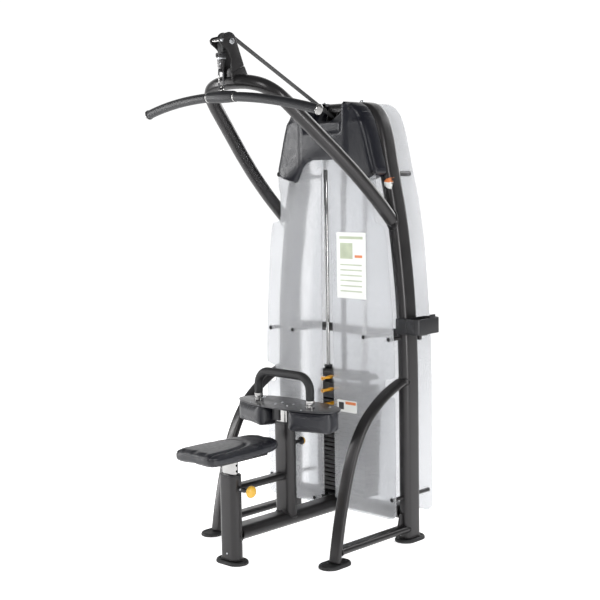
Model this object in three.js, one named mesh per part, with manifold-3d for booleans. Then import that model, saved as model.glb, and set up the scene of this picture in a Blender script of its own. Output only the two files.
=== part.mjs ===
// Selectorised lat pulldown machine: arch frame, overhead arm with a belt-driven bar, weight stack,
// sliding seat and sliding thigh pads. Millimetres, +Z up. The user sits at -Y and faces +Y.
// The origin is on the floor under the middle of the machine.
import * as THREE from 'three';
import { mergeVertices } from 'three/addons/utils/BufferGeometryUtils.js';
import Module from 'manifold-3d';

const wasm = await Module();
wasm.setup();

// ---------- driving dimensions ----------
const GAP = 0.3;                      // clearance left between pieces that touch
const FOOT_HEIGHT = 16;

const MAIN_LONG = 105;                // big flat-oval tube
const MAIN_SHORT = 60;
const SMALL_LONG = 60;                // small flat-oval tube
const SMALL_SHORT = 30;
const WALL = 3;

const COLUMN_Y = 418.5;                 // plane of the arch
const COLUMN_X = 372;                 // half the distance between the column centres at the floor
const BEAM_Z = 1950;                  // centre line of the arch's top
const SEAT_Y = COLUMN_Y - 757;
const UPRIGHT_Y = COLUMN_Y - 418;
const LEG_FOOT_Y = COLUMN_Y - 509;

const BASE_Z = 127;                   // centre line of the tubes on the floor level
const SEAT_TUBE_TOP = 382;
const UPRIGHT_TOP = 557;
const MID_BRACE_Z = 322;
const LOW_BRACE_Z = 59;

const ARM_RADIUS = 30;                // round overhead tube
const ARM_SLOPE = 0.943;              // rise per millimetre forwards
const ARM_JOIN_Z = 1400;              // height where its centre line meets the arch plane

const BELT_WIDTH = 30;
const BELT_THICK = 4;
const FRONT_PULLEY = { y: COLUMN_Y - 722, z: 2215, belt: 33, flange: 39, half: 20 };
const REAR_PULLEY = { y: COLUMN_Y - 45, z: 1853, belt: 43, flange: 49, half: 20 };
const DROP_Y = FRONT_PULLEY.y - FRONT_PULLEY.belt - BELT_THICK / 2;

const BAR_Z = 1987;
const BAR_HALF = 518;
const BAR_DROP = 63;                  // how far the ends hang below the middle
const BAR_TILT = THREE.MathUtils.degToRad(1.3);
const BAR_LEAN = 35;                  // how far the ends lie behind the middle
const SLEEVE_HALF = 78;

const ROD_X = 116;
const ROD_RADIUS = 10;
const PLATE_HALF_X = 155;
const PLATE_HALF_Y = 55;
const PLATE_PITCH = 21;
const RESTING_PLATES = 20;
const STACK_BOTTOM = 170;
const HEAD_BOTTOM = STACK_BOTTOM + (RESTING_PLATES + 1) * PLATE_PITCH;
const HEAD_TOP = HEAD_BOTTOM + 39;
const ADD_ON_Z = [HEAD_TOP + 17, HEAD_TOP + 75];

const FRONT_SHROUD_Y = COLUMN_Y - 131;
const REAR_SHROUD_Y = COLUMN_Y + 133;
const SHROUD_THICK = 5;
const COVER_FRONT_Y = COLUMN_Y - 150;

const SEAT_BOTTOM = 469;
const SEAT_THICK = 50;
const PAD_BOTTOM = 541;
const PAD_TOP = 634;
const THIGH_PLATE_TOP = 641;
const PAD_SWEEP = THREE.MathUtils.degToRad(16);

// ---------- materials ----------
function material(color, roughness, metalness, opacity = 1) {
  return new THREE.MeshStandardMaterial({
    color, roughness, metalness, opacity, transparent: opacity < 1,
  });
}

const PAINT = material(0x3f3f42, 0.42, 0.55);
const CHROME = material(0xd6d8da, 0.12, 1.0);
const RUBBER = material(0x17171a, 0.85, 0.0);
const PLASTIC = material(0x1d1e24, 0.45, 0.0);
const COVER = material(0x23252f, 0.38, 0.1);
const FROSTED = material(0xd9dde1, 0.5, 0.0, 0.8);
const PADDING = material(0x22232a, 0.55, 0.0);
const FOAM = material(0x1b1b1e, 0.8, 0.0);
const PLATE_GREY = material(0x9a9ca1, 0.35, 0.7);
const CAST = material(0x2a2b2d, 0.6, 0.4);
const YELLOW = material(0xe9b93c, 0.35, 0.0);
const AMBER = material(0xdd9418, 0.35, 0.0);
const BELT = material(0x2c2c2e, 0.75, 0.0);

// ---------- geometry helpers ----------
function flatOval(width, height) {
  const shape = new THREE.Shape();
  const radius = Math.min(width, height) / 2;
  const reach = Math.abs(width - height) / 2;
  const turn = Math.PI / 2;
  if (width >= height) {
    shape.absarc(reach, 0, radius, -turn, turn, false);
    shape.absarc(-reach, 0, radius, turn, 3 * turn, false);
  } else {
    shape.absarc(0, reach, radius, 0, 2 * turn, false);
    shape.absarc(0, -reach, radius, 2 * turn, 4 * turn, false);
  }
  shape.closePath();
  return shape;
}

function circle(radius) {
  const shape = new THREE.Shape();
  shape.absarc(0, 0, radius, 0, 2 * Math.PI, false);
  return shape;
}

function roundedRectangle(x0, y0, x1, y1, radius) {
  const shape = new THREE.Shape();
  shape.moveTo(x0 + radius, y0);
  shape.lineTo(x1 - radius, y0);
  shape.absarc(x1 - radius, y0 + radius, radius, -Math.PI / 2, 0, false);
  shape.absarc(x1 - radius, y1 - radius, radius, 0, Math.PI / 2, false);
  shape.absarc(x0 + radius, y1 - radius, radius, Math.PI / 2, Math.PI, false);
  shape.absarc(x0 + radius, y0 + radius, radius, Math.PI, 1.5 * Math.PI, false);
  shape.closePath();
  return shape;
}

// Straight prism of a shape along +Z from z0 to z1.
function prismZ(shape, z0, z1, segments = 4) {
  const geometry = new THREE.ExtrudeGeometry(shape, {
    depth: z1 - z0, bevelEnabled: false, curveSegments: segments,
  });
  return geometry.translate(0, 0, z0);
}

// Prism along +Y: the shape's x stays X and its y becomes Z.
function prismY(shape, y0, y1, segments = 4) {
  const geometry = new THREE.ExtrudeGeometry(shape, {
    depth: y1 - y0, bevelEnabled: false, curveSegments: segments,
  });
  return geometry.rotateX(Math.PI / 2).translate(0, y1, 0);
}

// Prism along +X: the shape's x becomes Y and its y becomes Z.
function prismX(shape, x0, x1, segments = 4) {
  const geometry = new THREE.ExtrudeGeometry(shape, {
    depth: x1 - x0, bevelEnabled: false, curveSegments: segments,
  });
  return geometry.rotateX(Math.PI / 2).rotateZ(Math.PI / 2).translate(x0, 0, 0);
}

function box(x0, y0, z0, x1, y1, z1) {
  const geometry = new THREE.BoxGeometry(x1 - x0, y1 - y0, z1 - z0);
  return geometry.translate((x0 + x1) / 2, (y0 + y1) / 2, (z0 + z1) / 2);
}

// Tube along a curve. The shape's x stays square to the plane of a flat curve.
function sweep(shape, route, segments = 3) {
  return new THREE.ExtrudeGeometry(shape, {
    extrudePath: route, steps: route.points.length - 1, bevelEnabled: false,
    curveSegments: segments,
  });
}

// Path through the given points, with one cross-section at each of them.
class Route extends THREE.Curve {
  constructor(points, closed = false) {
    super();
    this.points = closed ? [...points, points[0]] : points;
    this.closed = closed;
  }

  getPoint(t) {
    const last = this.points.length - 1;
    const i = Math.min(Math.floor(t * last + 1e-6), last);
    return this.points[i].clone().lerp(this.points[Math.min(i + 1, last)], t * last - i);
  }

  getPointAt(u) {
    return this.getPoint(u);
  }

  getTangentAt(u) {
    const last = this.points.length - 1;
    const i = Math.round(u * last);
    const before = this.points[i > 0 || !this.closed ? Math.max(i - 1, 0) : last - 1];
    const after = this.points[i < last || !this.closed ? Math.min(i + 1, last) : 1];
    return after.clone().sub(before).normalize();
  }
}

// Cylinder from one point to another.
function rod(from, to, radius, sides = 16) {
  const a = new THREE.Vector3(...from);
  const b = new THREE.Vector3(...to);
  const axis = b.clone().sub(a);
  const geometry = new THREE.CylinderGeometry(radius, radius, axis.length(), sides);
  const turn = new THREE.Quaternion().setFromUnitVectors(
    new THREE.Vector3(0, 1, 0), axis.clone().normalize(),
  );
  geometry.applyQuaternion(turn);
  return geometry.translate((a.x + b.x) / 2, (a.y + b.y) / 2, (a.z + b.z) / 2);
}

// Turned piece: profile of [radius, distance] pairs about the axis through "at" along "direction".
function turned(profile, at, direction, sides = 20) {
  const points = profile.map(([r, d]) => new THREE.Vector2(r, d));
  const geometry = new THREE.LatheGeometry(points, sides);
  const turn = new THREE.Quaternion().setFromUnitVectors(
    new THREE.Vector3(0, 1, 0), new THREE.Vector3(...direction).normalize(),
  );
  return geometry.applyQuaternion(turn).translate(...at);
}

function signedVolume(position, index) {
  let sum = 0;
  const a = new THREE.Vector3();
  const b = new THREE.Vector3();
  const c = new THREE.Vector3();
  for (let i = 0; i < index.count; i += 3) {
    a.fromBufferAttribute(position, index.getX(i));
    b.fromBufferAttribute(position, index.getX(i + 1));
    c.fromBufferAttribute(position, index.getX(i + 2));
    sum += a.dot(b.cross(c)) / 6;
  }
  return sum;
}

// Closed triangle mesh with merged corners, as a manifold solid.
function solid(geometry) {
  const bare = geometry.clone();
  bare.deleteAttribute('normal');
  bare.deleteAttribute('uv');
  const merged = mergeVertices(bare, 1e-3);
  const kept = [];
  for (let i = 0; i < merged.index.count; i += 3) {
    const corner = [0, 1, 2].map((k) => merged.index.getX(i + k));
    if (new Set(corner).size === 3) {
      kept.push(...corner);
    }
  }
  merged.setIndex(kept);
  if (signedVolume(merged.attributes.position, merged.index) < 0) {
    for (let i = 0; i < kept.length; i += 3) {
      [kept[i], kept[i + 1]] = [kept[i + 1], kept[i]];
    }
  }
  return new wasm.Manifold(new wasm.Mesh({
    numProp: 3,
    vertProperties: new Float32Array(merged.attributes.position.array),
    triVerts: new Uint32Array(kept),
  }));
}

function join(first, ...others) {
  return others.reduce((sum, other) => sum.add(solid(other)), solid(first));
}

function cut(body, ...tools) {
  return tools.reduce((rest, tool) => rest.subtract(solid(tool)), body);
}

function geometryOf(body) {
  const mesh = body.getMesh();
  const geometry = new THREE.BufferGeometry();
  const count = mesh.vertProperties.length / mesh.numProp;
  const position = new Float32Array(count * 3);
  for (let i = 0; i < count; i += 1) {
    for (let k = 0; k < 3; k += 1) {
      position[3 * i + k] = mesh.vertProperties[mesh.numProp * i + k];
    }
  }
  geometry.setAttribute('position', new THREE.BufferAttribute(position, 3));
  geometry.setIndex(new THREE.BufferAttribute(new Uint32Array(mesh.triVerts), 1));
  return geometry;
}

const machine = new THREE.Group();
machine.name = 'lat_pulldown_machine';

function assembly(x, y, z) {
  const group = new THREE.Group();
  group.position.set(x, y, z);
  machine.add(group);
  return group;
}

const frame = assembly(0, 0, 0);
const stack = assembly(0, COLUMN_Y, 0);
const seat = assembly(0, SEAT_Y, 0);
const thighs = assembly(0, UPRIGHT_Y, 0);

// Adds one named piece to an assembly; "at" is where the piece's own origin goes in it.
function place(group, name, body, surface, at = [0, 0, 0]) {
  const shape = body instanceof THREE.BufferGeometry ? solid(body) : body;
  const mesh = new THREE.Mesh(geometryOf(shape), surface.clone());
  mesh.name = name;
  mesh.position.set(...at);
  group.add(mesh);
}

function mirroredX(geometry) {
  return geometry.clone().scale(-1, 1, 1);
}

// ---------- arch: two columns and the top beam in one bent tube ----------
const ARCH_HALF = [
  [COLUMN_X, FOOT_HEIGHT + GAP], [COLUMN_X, 250], [COLUMN_X, 500], [371, 740], [367, 920], [357, 1098],
  [349, 1187], [339, 1275], [328, 1364], [315, 1452], [300, 1540], [281, 1630], [264, 1717],
  [247, 1805], [229, 1868], [203, 1917], [172, 1943], [140, BEAM_Z], [90, BEAM_Z],
];

function archCurve() {
  const right = ARCH_HALF.map(([x, z]) => new THREE.Vector3(x, COLUMN_Y, z));
  const left = ARCH_HALF.map(([x, z]) => new THREE.Vector3(-x, COLUMN_Y, z)).reverse();
  return new Route([...right, new THREE.Vector3(0, COLUMN_Y, BEAM_Z), ...left]);
}

function archHalfWidth(z) {
  const above = ARCH_HALF.findIndex(([, height]) => height > z);
  const [x0, z0] = ARCH_HALF[above - 1];
  const [x1, z1] = ARCH_HALF[above];
  return x0 + ((x1 - x0) * (z - z0)) / (z1 - z0);
}

const STANDOFF_Z = [205, 930];
const WING_STANDOFF_Z = 1656;

function arch() {
  const section = flatOval(MAIN_LONG, MAIN_SHORT);
  const face = MAIN_LONG / 2 - 1;
  const extras = [];
  for (const side of [-1, 1]) {
    for (const z of STANDOFF_Z) {
      const x = side * archHalfWidth(z);
      extras.push(rod([x, COLUMN_Y - face, z], [x, FRONT_SHROUD_Y + SHROUD_THICK + GAP, z], 9, 12));
      extras.push(rod([x, COLUMN_Y + face, z], [x, REAR_SHROUD_Y - GAP, z], 9, 12));
    }
    const x = side * archHalfWidth(WING_STANDOFF_Z);
    extras.push(rod([x, COLUMN_Y + face, WING_STANDOFF_Z],
      [x, REAR_SHROUD_Y - GAP, WING_STANDOFF_Z], 9, 12));
    extras.push(box(side * 25, REAR_PULLEY.y - 30, REAR_PULLEY.z - 22,
      side * 31, COLUMN_Y + 20, BEAM_Z - MAIN_SHORT / 2 + WALL / 2));
  }
  const axleHole = rod([-40, REAR_PULLEY.y, REAR_PULLEY.z], [40, REAR_PULLEY.y, REAR_PULLEY.z],
    8 + GAP, 16);
  return cut(join(sweep(section, archCurve(), 2), ...extras), axleHole);
}

place(frame, 'column_arch', arch(), PAINT);

// ---------- tubes on the floor level ----------
function seatTubeOuter() {
  return prismZ(flatOval(MAIN_LONG, MAIN_SHORT), FOOT_HEIGHT + GAP, SEAT_TUBE_TOP)
    .translate(0, SEAT_Y, 0);
}

function uprightOuter() {
  return prismZ(flatOval(MAIN_LONG, MAIN_SHORT), BASE_Z, UPRIGHT_TOP)
    .translate(0, UPRIGHT_Y, 0);
}

function socket(bottom, top, y) {
  return prismZ(flatOval(MAIN_LONG - 2 * WALL, MAIN_SHORT - 2 * WALL), bottom, top)
    .translate(0, y, 0);
}

function grown(width, height) {
  return flatOval(width + 2 * GAP, height + 2 * GAP);
}

const SEAT_PIN_Z = 331;
const THIGH_PIN_Z = 459;
const PIN_HOLE = 9;

place(frame, 'seat_tube', cut(solid(seatTubeOuter()), socket(40, SEAT_TUBE_TOP + 5, SEAT_Y),
  rod([30, SEAT_Y, SEAT_PIN_Z], [70, SEAT_Y, SEAT_PIN_Z], PIN_HOLE)), PAINT);

place(frame, 'base_beam', cut(
  solid(prismY(flatOval(MAIN_LONG, MAIN_SHORT), SEAT_Y, COLUMN_Y).translate(0, 0, BASE_Z)),
  prismZ(grown(MAIN_LONG, MAIN_SHORT), 0, 300).translate(0, SEAT_Y, 0),
  prismX(grown(MAIN_LONG, MAIN_SHORT), -100, 100).translate(0, COLUMN_Y, BASE_Z),
  box(-60, COLUMN_Y - 40, 60, 60, COLUMN_Y + 10, 190),
  box(-60, SEAT_Y - 40, 60, 60, SEAT_Y + 15, 190),
), PAINT);

place(frame, 'pad_upright', cut(solid(uprightOuter()),
  prismY(grown(MAIN_LONG, MAIN_SHORT), UPRIGHT_Y - 60, UPRIGHT_Y + 60).translate(0, 0, BASE_Z),
  box(-60, UPRIGHT_Y - 40, BASE_Z - 10, 60, UPRIGHT_Y + 40, BASE_Z + 12),
  socket(190, UPRIGHT_TOP + 5, UPRIGHT_Y),
  rod([0, UPRIGHT_Y + 10, THIGH_PIN_Z], [0, UPRIGHT_Y + 50, THIGH_PIN_Z], PIN_HOLE)), PAINT);

place(frame, 'mid_brace',
  prismY(flatOval(SMALL_LONG, SMALL_SHORT), SEAT_Y + MAIN_SHORT / 2 + GAP,
    UPRIGHT_Y - MAIN_SHORT / 2 - GAP).translate(0, 0, MID_BRACE_Z), PAINT);

function crossMember() {
  const tube = prismX(flatOval(MAIN_LONG, MAIN_SHORT), -COLUMN_X, COLUMN_X)
    .translate(0, COLUMN_Y, BASE_Z);
  const pegs = [-1, 1].map((side) => rod([side * 96, COLUMN_Y - 30, 140],
    [side * 96, FRONT_SHROUD_Y + SHROUD_THICK + GAP, 140], 8, 12));
  const columns = [-1, 1].map((side) => prismZ(grown(MAIN_SHORT + 1, MAIN_LONG + 1), 0, 300, 2)
    .translate(side * COLUMN_X, COLUMN_Y, 0));
  const outside = [-1, 1].map((side) => box(side * COLUMN_X, COLUMN_Y - 70, 60,
    side * (COLUMN_X + 60), COLUMN_Y + 70, 200));
  return cut(join(tube, ...pegs), ...columns, ...outside);
}

place(frame, 'stack_cross_member', crossMember(), PAINT);

// Flat bar behind the stack that carries the two inner supports of the front shroud.
function rearCrossBar() {
  const front = COLUMN_Y + 58;
  const bar = prismX(roundedRectangle(front, 910, front + 20, 950, 4), -388, 388, 2);
  const arms = [-1, 1].map((side) => rod([side * 221, front + 5, 930],
    [side * 221, FRONT_SHROUD_Y + SHROUD_THICK + GAP, 930], 8, 12));
  const spacers = [-1, 1].map((side) => rod(
    [side * archHalfWidth(930), COLUMN_Y + MAIN_LONG / 2 + GAP, 930],
    [side * archHalfWidth(930), front + 5, 930], 18, 16));
  const clearance = [-1, 1].map((side) => rod([side * archHalfWidth(930), front - 10, 930],
    [side * archHalfWidth(930), front + 30, 930], 9 + GAP, 16));
  return cut(join(bar, ...spacers, ...arms), ...clearance);
}

place(frame, 'rear_cross_bar', rearCrossBar(), PAINT);

// ---------- curved front legs and their lower braces ----------
const LEG_POINTS = [
  [-507, FOOT_HEIGHT + GAP], [-493, 95], [-470, 200], [-446, 290], [-420, 375], [-391, 450],
  [-350, 525], [-300, 590], [-240, 641], [-175, 682], [-110, 712], [-20, 744],
];

for (const [name, side] of [['left', -1], ['right', 1]]) {
  const path = new Route(LEG_POINTS.map(([y, z]) => new THREE.Vector3(
    side * COLUMN_X, COLUMN_Y + y, z)));
  const leg = cut(solid(sweep(flatOval(SMALL_LONG, SMALL_SHORT), path)),
    box(side * COLUMN_X - 60, COLUMN_Y - 100, -50, side * COLUMN_X + 60, COLUMN_Y + 60, 20),
    box(side * COLUMN_X - 60, COLUMN_Y - 700, -50, side * COLUMN_X + 60, COLUMN_Y,
      FOOT_HEIGHT + GAP),
    box(side * COLUMN_X - 60, COLUMN_Y - MAIN_LONG / 2 - GAP, 500,
      side * COLUMN_X + 60, COLUMN_Y + 60, 900));
  place(frame, `${name}_leg`, leg, PAINT);
  const brace = prismY(flatOval(SMALL_LONG, SMALL_SHORT), COLUMN_Y - 520,
    COLUMN_Y - MAIN_LONG / 2 - GAP, 3).translate(side * COLUMN_X, 0, LOW_BRACE_Z);
  const gusset = prismX(new THREE.Shape([
    new THREE.Vector2(COLUMN_Y - MAIN_LONG / 2 - GAP, LOW_BRACE_Z),
    new THREE.Vector2(COLUMN_Y - MAIN_LONG / 2 - GAP, 132),
    new THREE.Vector2(COLUMN_Y - 70, 132),
    new THREE.Vector2(COLUMN_Y - 88, LOW_BRACE_Z),
  ]), side * COLUMN_X - 4, side * COLUMN_X + 4);
  const legSpace = sweep(grown(SMALL_LONG, SMALL_SHORT), path);
  const ahead = box(side * COLUMN_X - 60, COLUMN_Y - 600, 20,
    side * COLUMN_X + 60, COLUMN_Y - 499, 110);
  place(frame, `${name}_lower_brace`, cut(join(brace, gusset), legSpace, ahead), PAINT);
}

// ---------- rubber feet ----------
function foot(alongY) {
  const wide = alongY ? flatOval(100, 160) : flatOval(160, 100);
  const narrow = alongY ? flatOval(92, 152) : flatOval(152, 92);
  return join(prismZ(wide, 0, 11), prismZ(narrow, 10, FOOT_HEIGHT));
}

place(frame, 'seat_foot', foot(false), RUBBER, [0, SEAT_Y, 0]);
for (const [name, side] of [['left', -1], ['right', 1]]) {
  place(frame, `${name}_leg_foot`, foot(true), RUBBER, [side * COLUMN_X, LEG_FOOT_Y, 0]);
  place(frame, `${name}_column_foot`, foot(true), RUBBER, [side * COLUMN_X, COLUMN_Y, 0]);
}

// ---------- overhead arm: one round tube bent into a loop ----------
const ARM_HALF = [
  [326, 20], [328, -20], [329, -56], [329, -101], [328, -148], [324, -196], [318, -242],
  [310, -289], [299, -333], [286, -382], [271, -429], [257, -473], [243, -516], [230, -557],
  [216, -598], [195, -636], [158, -665], [104, -682],
];

function armPoint(x, y) {
  return new THREE.Vector3(x, COLUMN_Y + y, ARM_JOIN_Z - ARM_SLOPE * y);
}

function armCurve() {
  const right = ARM_HALF.map(([x, y]) => armPoint(x, y));
  const left = ARM_HALF.map(([x, y]) => armPoint(-x, y)).reverse();
  return new Route([...right, armPoint(0, -689), ...left]);
}

function overheadArm() {
  const behind = box(-500, COLUMN_Y - MAIN_LONG / 2 - GAP, 1200, 500, COLUMN_Y + 200, 1700);
  return cut(solid(sweep(circle(ARM_RADIUS), armCurve(), 6)), behind);
}

place(frame, 'overhead_arm', overheadArm(), PAINT);

// ---------- pulley head on the front of the arm ----------
function headSide(side) {
  const outline = [
    [-632, 2050], [-632, 2080], [-653, 2117], [-697, 2226], [-720, 2236], [-752, 2236],
    [-780, 2229], [-791, 2216], [-786, 2203], [-757, 2186], [-738, 2168], [-727, 2140],
    [-722, 2097], [-716, 2050],
  ].map(([y, z]) => new THREE.Vector2(COLUMN_Y + y, z));
  return prismX(new THREE.Shape(outline), side > 0 ? 25 : -31, side > 0 ? 31 : -25);
}

function pulleyHead() {
  const block = box(-28, COLUMN_Y - 712, 2050, 28, COLUMN_Y - 640, 2108);
  const spacer = rod([-28, COLUMN_Y - 779, 2216], [28, COLUMN_Y - 779, 2216], 6, 14);
  const armSpace = sweep(circle(ARM_RADIUS + GAP), armCurve(), 6);
  const below = box(-60, COLUMN_Y - 760, 1990, 60, COLUMN_Y - 600, 2058);
  const axle = rod([-45, FRONT_PULLEY.y, FRONT_PULLEY.z], [45, FRONT_PULLEY.y, FRONT_PULLEY.z],
    8 + GAP, 16);
  return cut(join(headSide(1), headSide(-1), block, spacer), armSpace, below, axle);
}

place(frame, 'pulley_head', pulleyHead(), PAINT);

function pulley({ belt, flange, half }) {
  const profile = [
    [8.5, -half], [flange, -half], [flange, -half + 4], [belt, -half + 4.5],
    [belt, half - 4.5], [flange, half - 4], [flange, half], [8.5, half], [8.5, -half],
  ];
  return turned(profile, [0, 0, 0], [1, 0, 0], 24);
}

function axle() {
  return join(rod([-35, 0, 0], [35, 0, 0], 8, 12), rod([31 + GAP, 0, 0], [39, 0, 0], 13, 12),
    rod([-39, 0, 0], [-31 - GAP, 0, 0], 13, 12));
}

for (const [name, wheel] of [['front', FRONT_PULLEY], ['rear', REAR_PULLEY]]) {
  place(frame, `${name}_pulley`, pulley(wheel), PLASTIC, [0, wheel.y, wheel.z]);
  place(frame, `${name}_axle`, axle(), CHROME, [0, wheel.y, wheel.z]);
}

// ---------- flat belt: front drop, run over both pulleys, rear drop ----------
const BELT_CLEAR = 0.4;

function beltRun() {
  const front = FRONT_PULLEY.belt + BELT_CLEAR + BELT_THICK / 2;
  const rear = REAR_PULLEY.belt + BELT_CLEAR + BELT_THICK / 2;
  const dy = REAR_PULLEY.y - FRONT_PULLEY.y;
  const dz = REAR_PULLEY.z - FRONT_PULLEY.z;
  const slope = Math.atan2(dz, dy);
  const lift = Math.asin((front - rear) / Math.hypot(dy, dz));
  const tangent = slope - lift + Math.PI / 2;
  const outer = new THREE.Shape();
  const t = BELT_THICK / 2;
  outer.absarc(FRONT_PULLEY.y, FRONT_PULLEY.z, front + t, Math.PI, tangent, true);
  outer.absarc(REAR_PULLEY.y, REAR_PULLEY.z, rear + t, tangent, 0, true);
  outer.absarc(REAR_PULLEY.y, REAR_PULLEY.z, rear - t, 0, tangent, false);
  outer.absarc(FRONT_PULLEY.y, FRONT_PULLEY.z, front - t, tangent, Math.PI, false);
  outer.closePath();
  return prismX(outer, -BELT_WIDTH / 2, BELT_WIDTH / 2, 6);
}

const FRONT_BELT_Y = FRONT_PULLEY.y - FRONT_PULLEY.belt - BELT_CLEAR - BELT_THICK / 2;
const REAR_BELT_Y = REAR_PULLEY.y + REAR_PULLEY.belt + BELT_CLEAR + BELT_THICK / 2;
const CLAMP_TOP = 2168;
const REAR_BELT_END = HEAD_TOP + 26;

function beltDrop(y, z0, z1) {
  return box(-BELT_WIDTH / 2, y - BELT_THICK / 2, z0, BELT_WIDTH / 2, y + BELT_THICK / 2, z1);
}

place(frame, 'belt_run', beltRun(), BELT);
place(frame, 'belt_front', beltDrop(FRONT_BELT_Y, CLAMP_TOP + GAP, FRONT_PULLEY.z - GAP), BELT);
place(frame, 'belt_rear', beltDrop(REAR_BELT_Y, REAR_BELT_END + GAP, REAR_PULLEY.z - GAP), BELT);

// ---------- belt clamp, snap hook and lat bar ----------
const HOOK_TOP = 2099;
const HOOK_BOTTOM = 2020.5;

function beltClamp() {
  const y = DROP_Y;
  const block = prismY(roundedRectangle(-20, 2147, 20, CLAMP_TOP, 5), y - 11, y + 11, 2);
  const plate = prismY(roundedRectangle(-21, 2136, 21, 2149, 2), y - 12, y + 12, 2);
  const tail = prismY(new THREE.Shape([
    new THREE.Vector2(-19, 2140), new THREE.Vector2(-11, 2088), new THREE.Vector2(11, 2088),
    new THREE.Vector2(19, 2140),
  ]), y - 5, y + 5);
  const hole = rod([0, y - 20, HOOK_TOP], [0, y + 20, HOOK_TOP], 8, 16);
  return cut(join(block, plate, tail), hole);
}

place(frame, 'belt_clamp', beltClamp(), PLASTIC);

function snapHook() {
  const half = 13;
  const bend = 9;
  const points = [];
  for (const [cy, cz, start] of [
    [half - bend, HOOK_TOP - bend, 0], [-half + bend, HOOK_TOP - bend, 90],
    [-half + bend, HOOK_BOTTOM + bend, 180], [half - bend, HOOK_BOTTOM + bend, 270],
  ]) {
    for (const step of [0, 45, 90]) {
      const angle = THREE.MathUtils.degToRad(start + step);
      points.push(new THREE.Vector3(0, DROP_Y + cy + bend * Math.cos(angle),
        cz + bend * Math.sin(angle)));
    }
  }
  return sweep(circle(3.5), new Route(points, true), 4);
}

place(frame, 'snap_hook', snapHook(), CHROME);

// The bar hangs a little crooked on its hook, which is the pivot of this assembly.
const HANG_Z = HOOK_BOTTOM + 3.5;
const bar = assembly(1.9, DROP_Y, HANG_Z);
bar.rotation.y = BAR_TILT;

function barPoint(x) {
  const part = (x / BAR_HALF) ** 2;
  return new THREE.Vector3(x, BAR_LEAN * part, BAR_Z - HANG_Z - BAR_DROP * part);
}

function barCurve(x0, x1, count) {
  const points = [];
  for (let i = 0; i <= count; i += 1) {
    points.push(barPoint(x0 + ((x1 - x0) * i) / count));
  }
  return new Route(points);
}

function latBar() {
  const core = sweep(circle(13), barCurve(-BAR_HALF, BAR_HALF, 14), 5);
  const ends = [-1, 1].map((side) => {
    const at = barPoint(side * BAR_HALF);
    const along = at.clone().sub(barPoint(side * (BAR_HALF - 5))).normalize();
    return turned([[0, -4], [22, -4], [22, 2], [19, 6], [0, 6]], at.toArray(),
      along.toArray(), 20);
  });
  return join(core, ...ends);
}

function barSleeve() {
  const profile = [
    [13.6, -SLEEVE_HALF], [24, -SLEEVE_HALF], [24, -SLEEVE_HALF + 9], [22, -SLEEVE_HALF + 11],
    [26, -30], [26, 30], [22, SLEEVE_HALF - 11], [24, SLEEVE_HALF - 9], [24, SLEEVE_HALF],
    [13.6, SLEEVE_HALF], [13.6, -SLEEVE_HALF],
  ];
  const height = BAR_Z - HANG_Z;
  const tube = turned(profile, [0, 0, height], [1, 0, 0], 18);
  const eye = new THREE.TorusGeometry(14, 3.5, 6, 14).rotateX(Math.PI / 2)
    .translate(0, 0, height + 27);
  const bore = rod([-SLEEVE_HALF - 5, 0, height], [SLEEVE_HALF + 5, 0, height], 15, 18);
  return cut(join(tube, eye), bore);
}

function barGrip(side) {
  const section = circle(20);
  section.holes.push(circle(13 + 2 * GAP));
  const inner = side * (SLEEVE_HALF + 2);
  const outer = side * (BAR_HALF - 5.5);
  return sweep(section, barCurve(inner, outer, 8), 5);
}

place(bar, 'lat_bar', latBar(), CHROME);
place(bar, 'bar_sleeve', barSleeve(), RUBBER);
place(bar, 'left_grip', barGrip(-1), RUBBER);
place(bar, 'right_grip', barGrip(1), RUBBER);

// ---------- guide rods and weight stack ----------
for (const [name, side] of [['left', -1], ['right', 1]]) {
  place(stack, `${name}_guide_rod`, rod([0, 0, BASE_Z + MAIN_SHORT / 2 + GAP],
    [0, 0, BEAM_Z - MAIN_SHORT / 2 - 2], ROD_RADIUS, 16), CHROME, [side * ROD_X, 0, 0]);
  place(stack, `${name}_bumper`, turned([
    [ROD_RADIUS + 1, BASE_Z + MAIN_SHORT / 2 + GAP], [19, BASE_Z + MAIN_SHORT / 2 + GAP],
    [22, STACK_BOTTOM - 4], [19, STACK_BOTTOM - GAP], [ROD_RADIUS + 1, STACK_BOTTOM - GAP],
    [ROD_RADIUS + 1, BASE_Z + MAIN_SHORT / 2 + GAP],
  ], [0, 0, 0], [0, 0, 1], 14), RUBBER, [side * ROD_X, 0, 0]);
}

function slab(halfX, halfY, z0, z1, radius = 8) {
  return prismZ(roundedRectangle(-halfX, -halfY, halfX, halfY, radius), z0, z1, 1);
}

function bores(z0, z1, rodRadius, centreRadius) {
  return [
    rod([-ROD_X, 0, z0], [-ROD_X, 0, z1], rodRadius, 12),
    rod([ROD_X, 0, z0], [ROD_X, 0, z1], rodRadius, 12),
    rod([0, 0, z0], [0, 0, z1], centreRadius, 12),
  ];
}

const PIN_Z = STACK_BOTTOM + (RESTING_PLATES + 0.5) * PLATE_PITCH - GAP / 2;
const PIN_RADIUS = 5;
const STEM_RADIUS = 12;

function pinHole(z) {
  return rod([0, -80, z], [0, STEM_RADIUS + 5, z], PIN_RADIUS + 0.6, 10);
}

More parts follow.
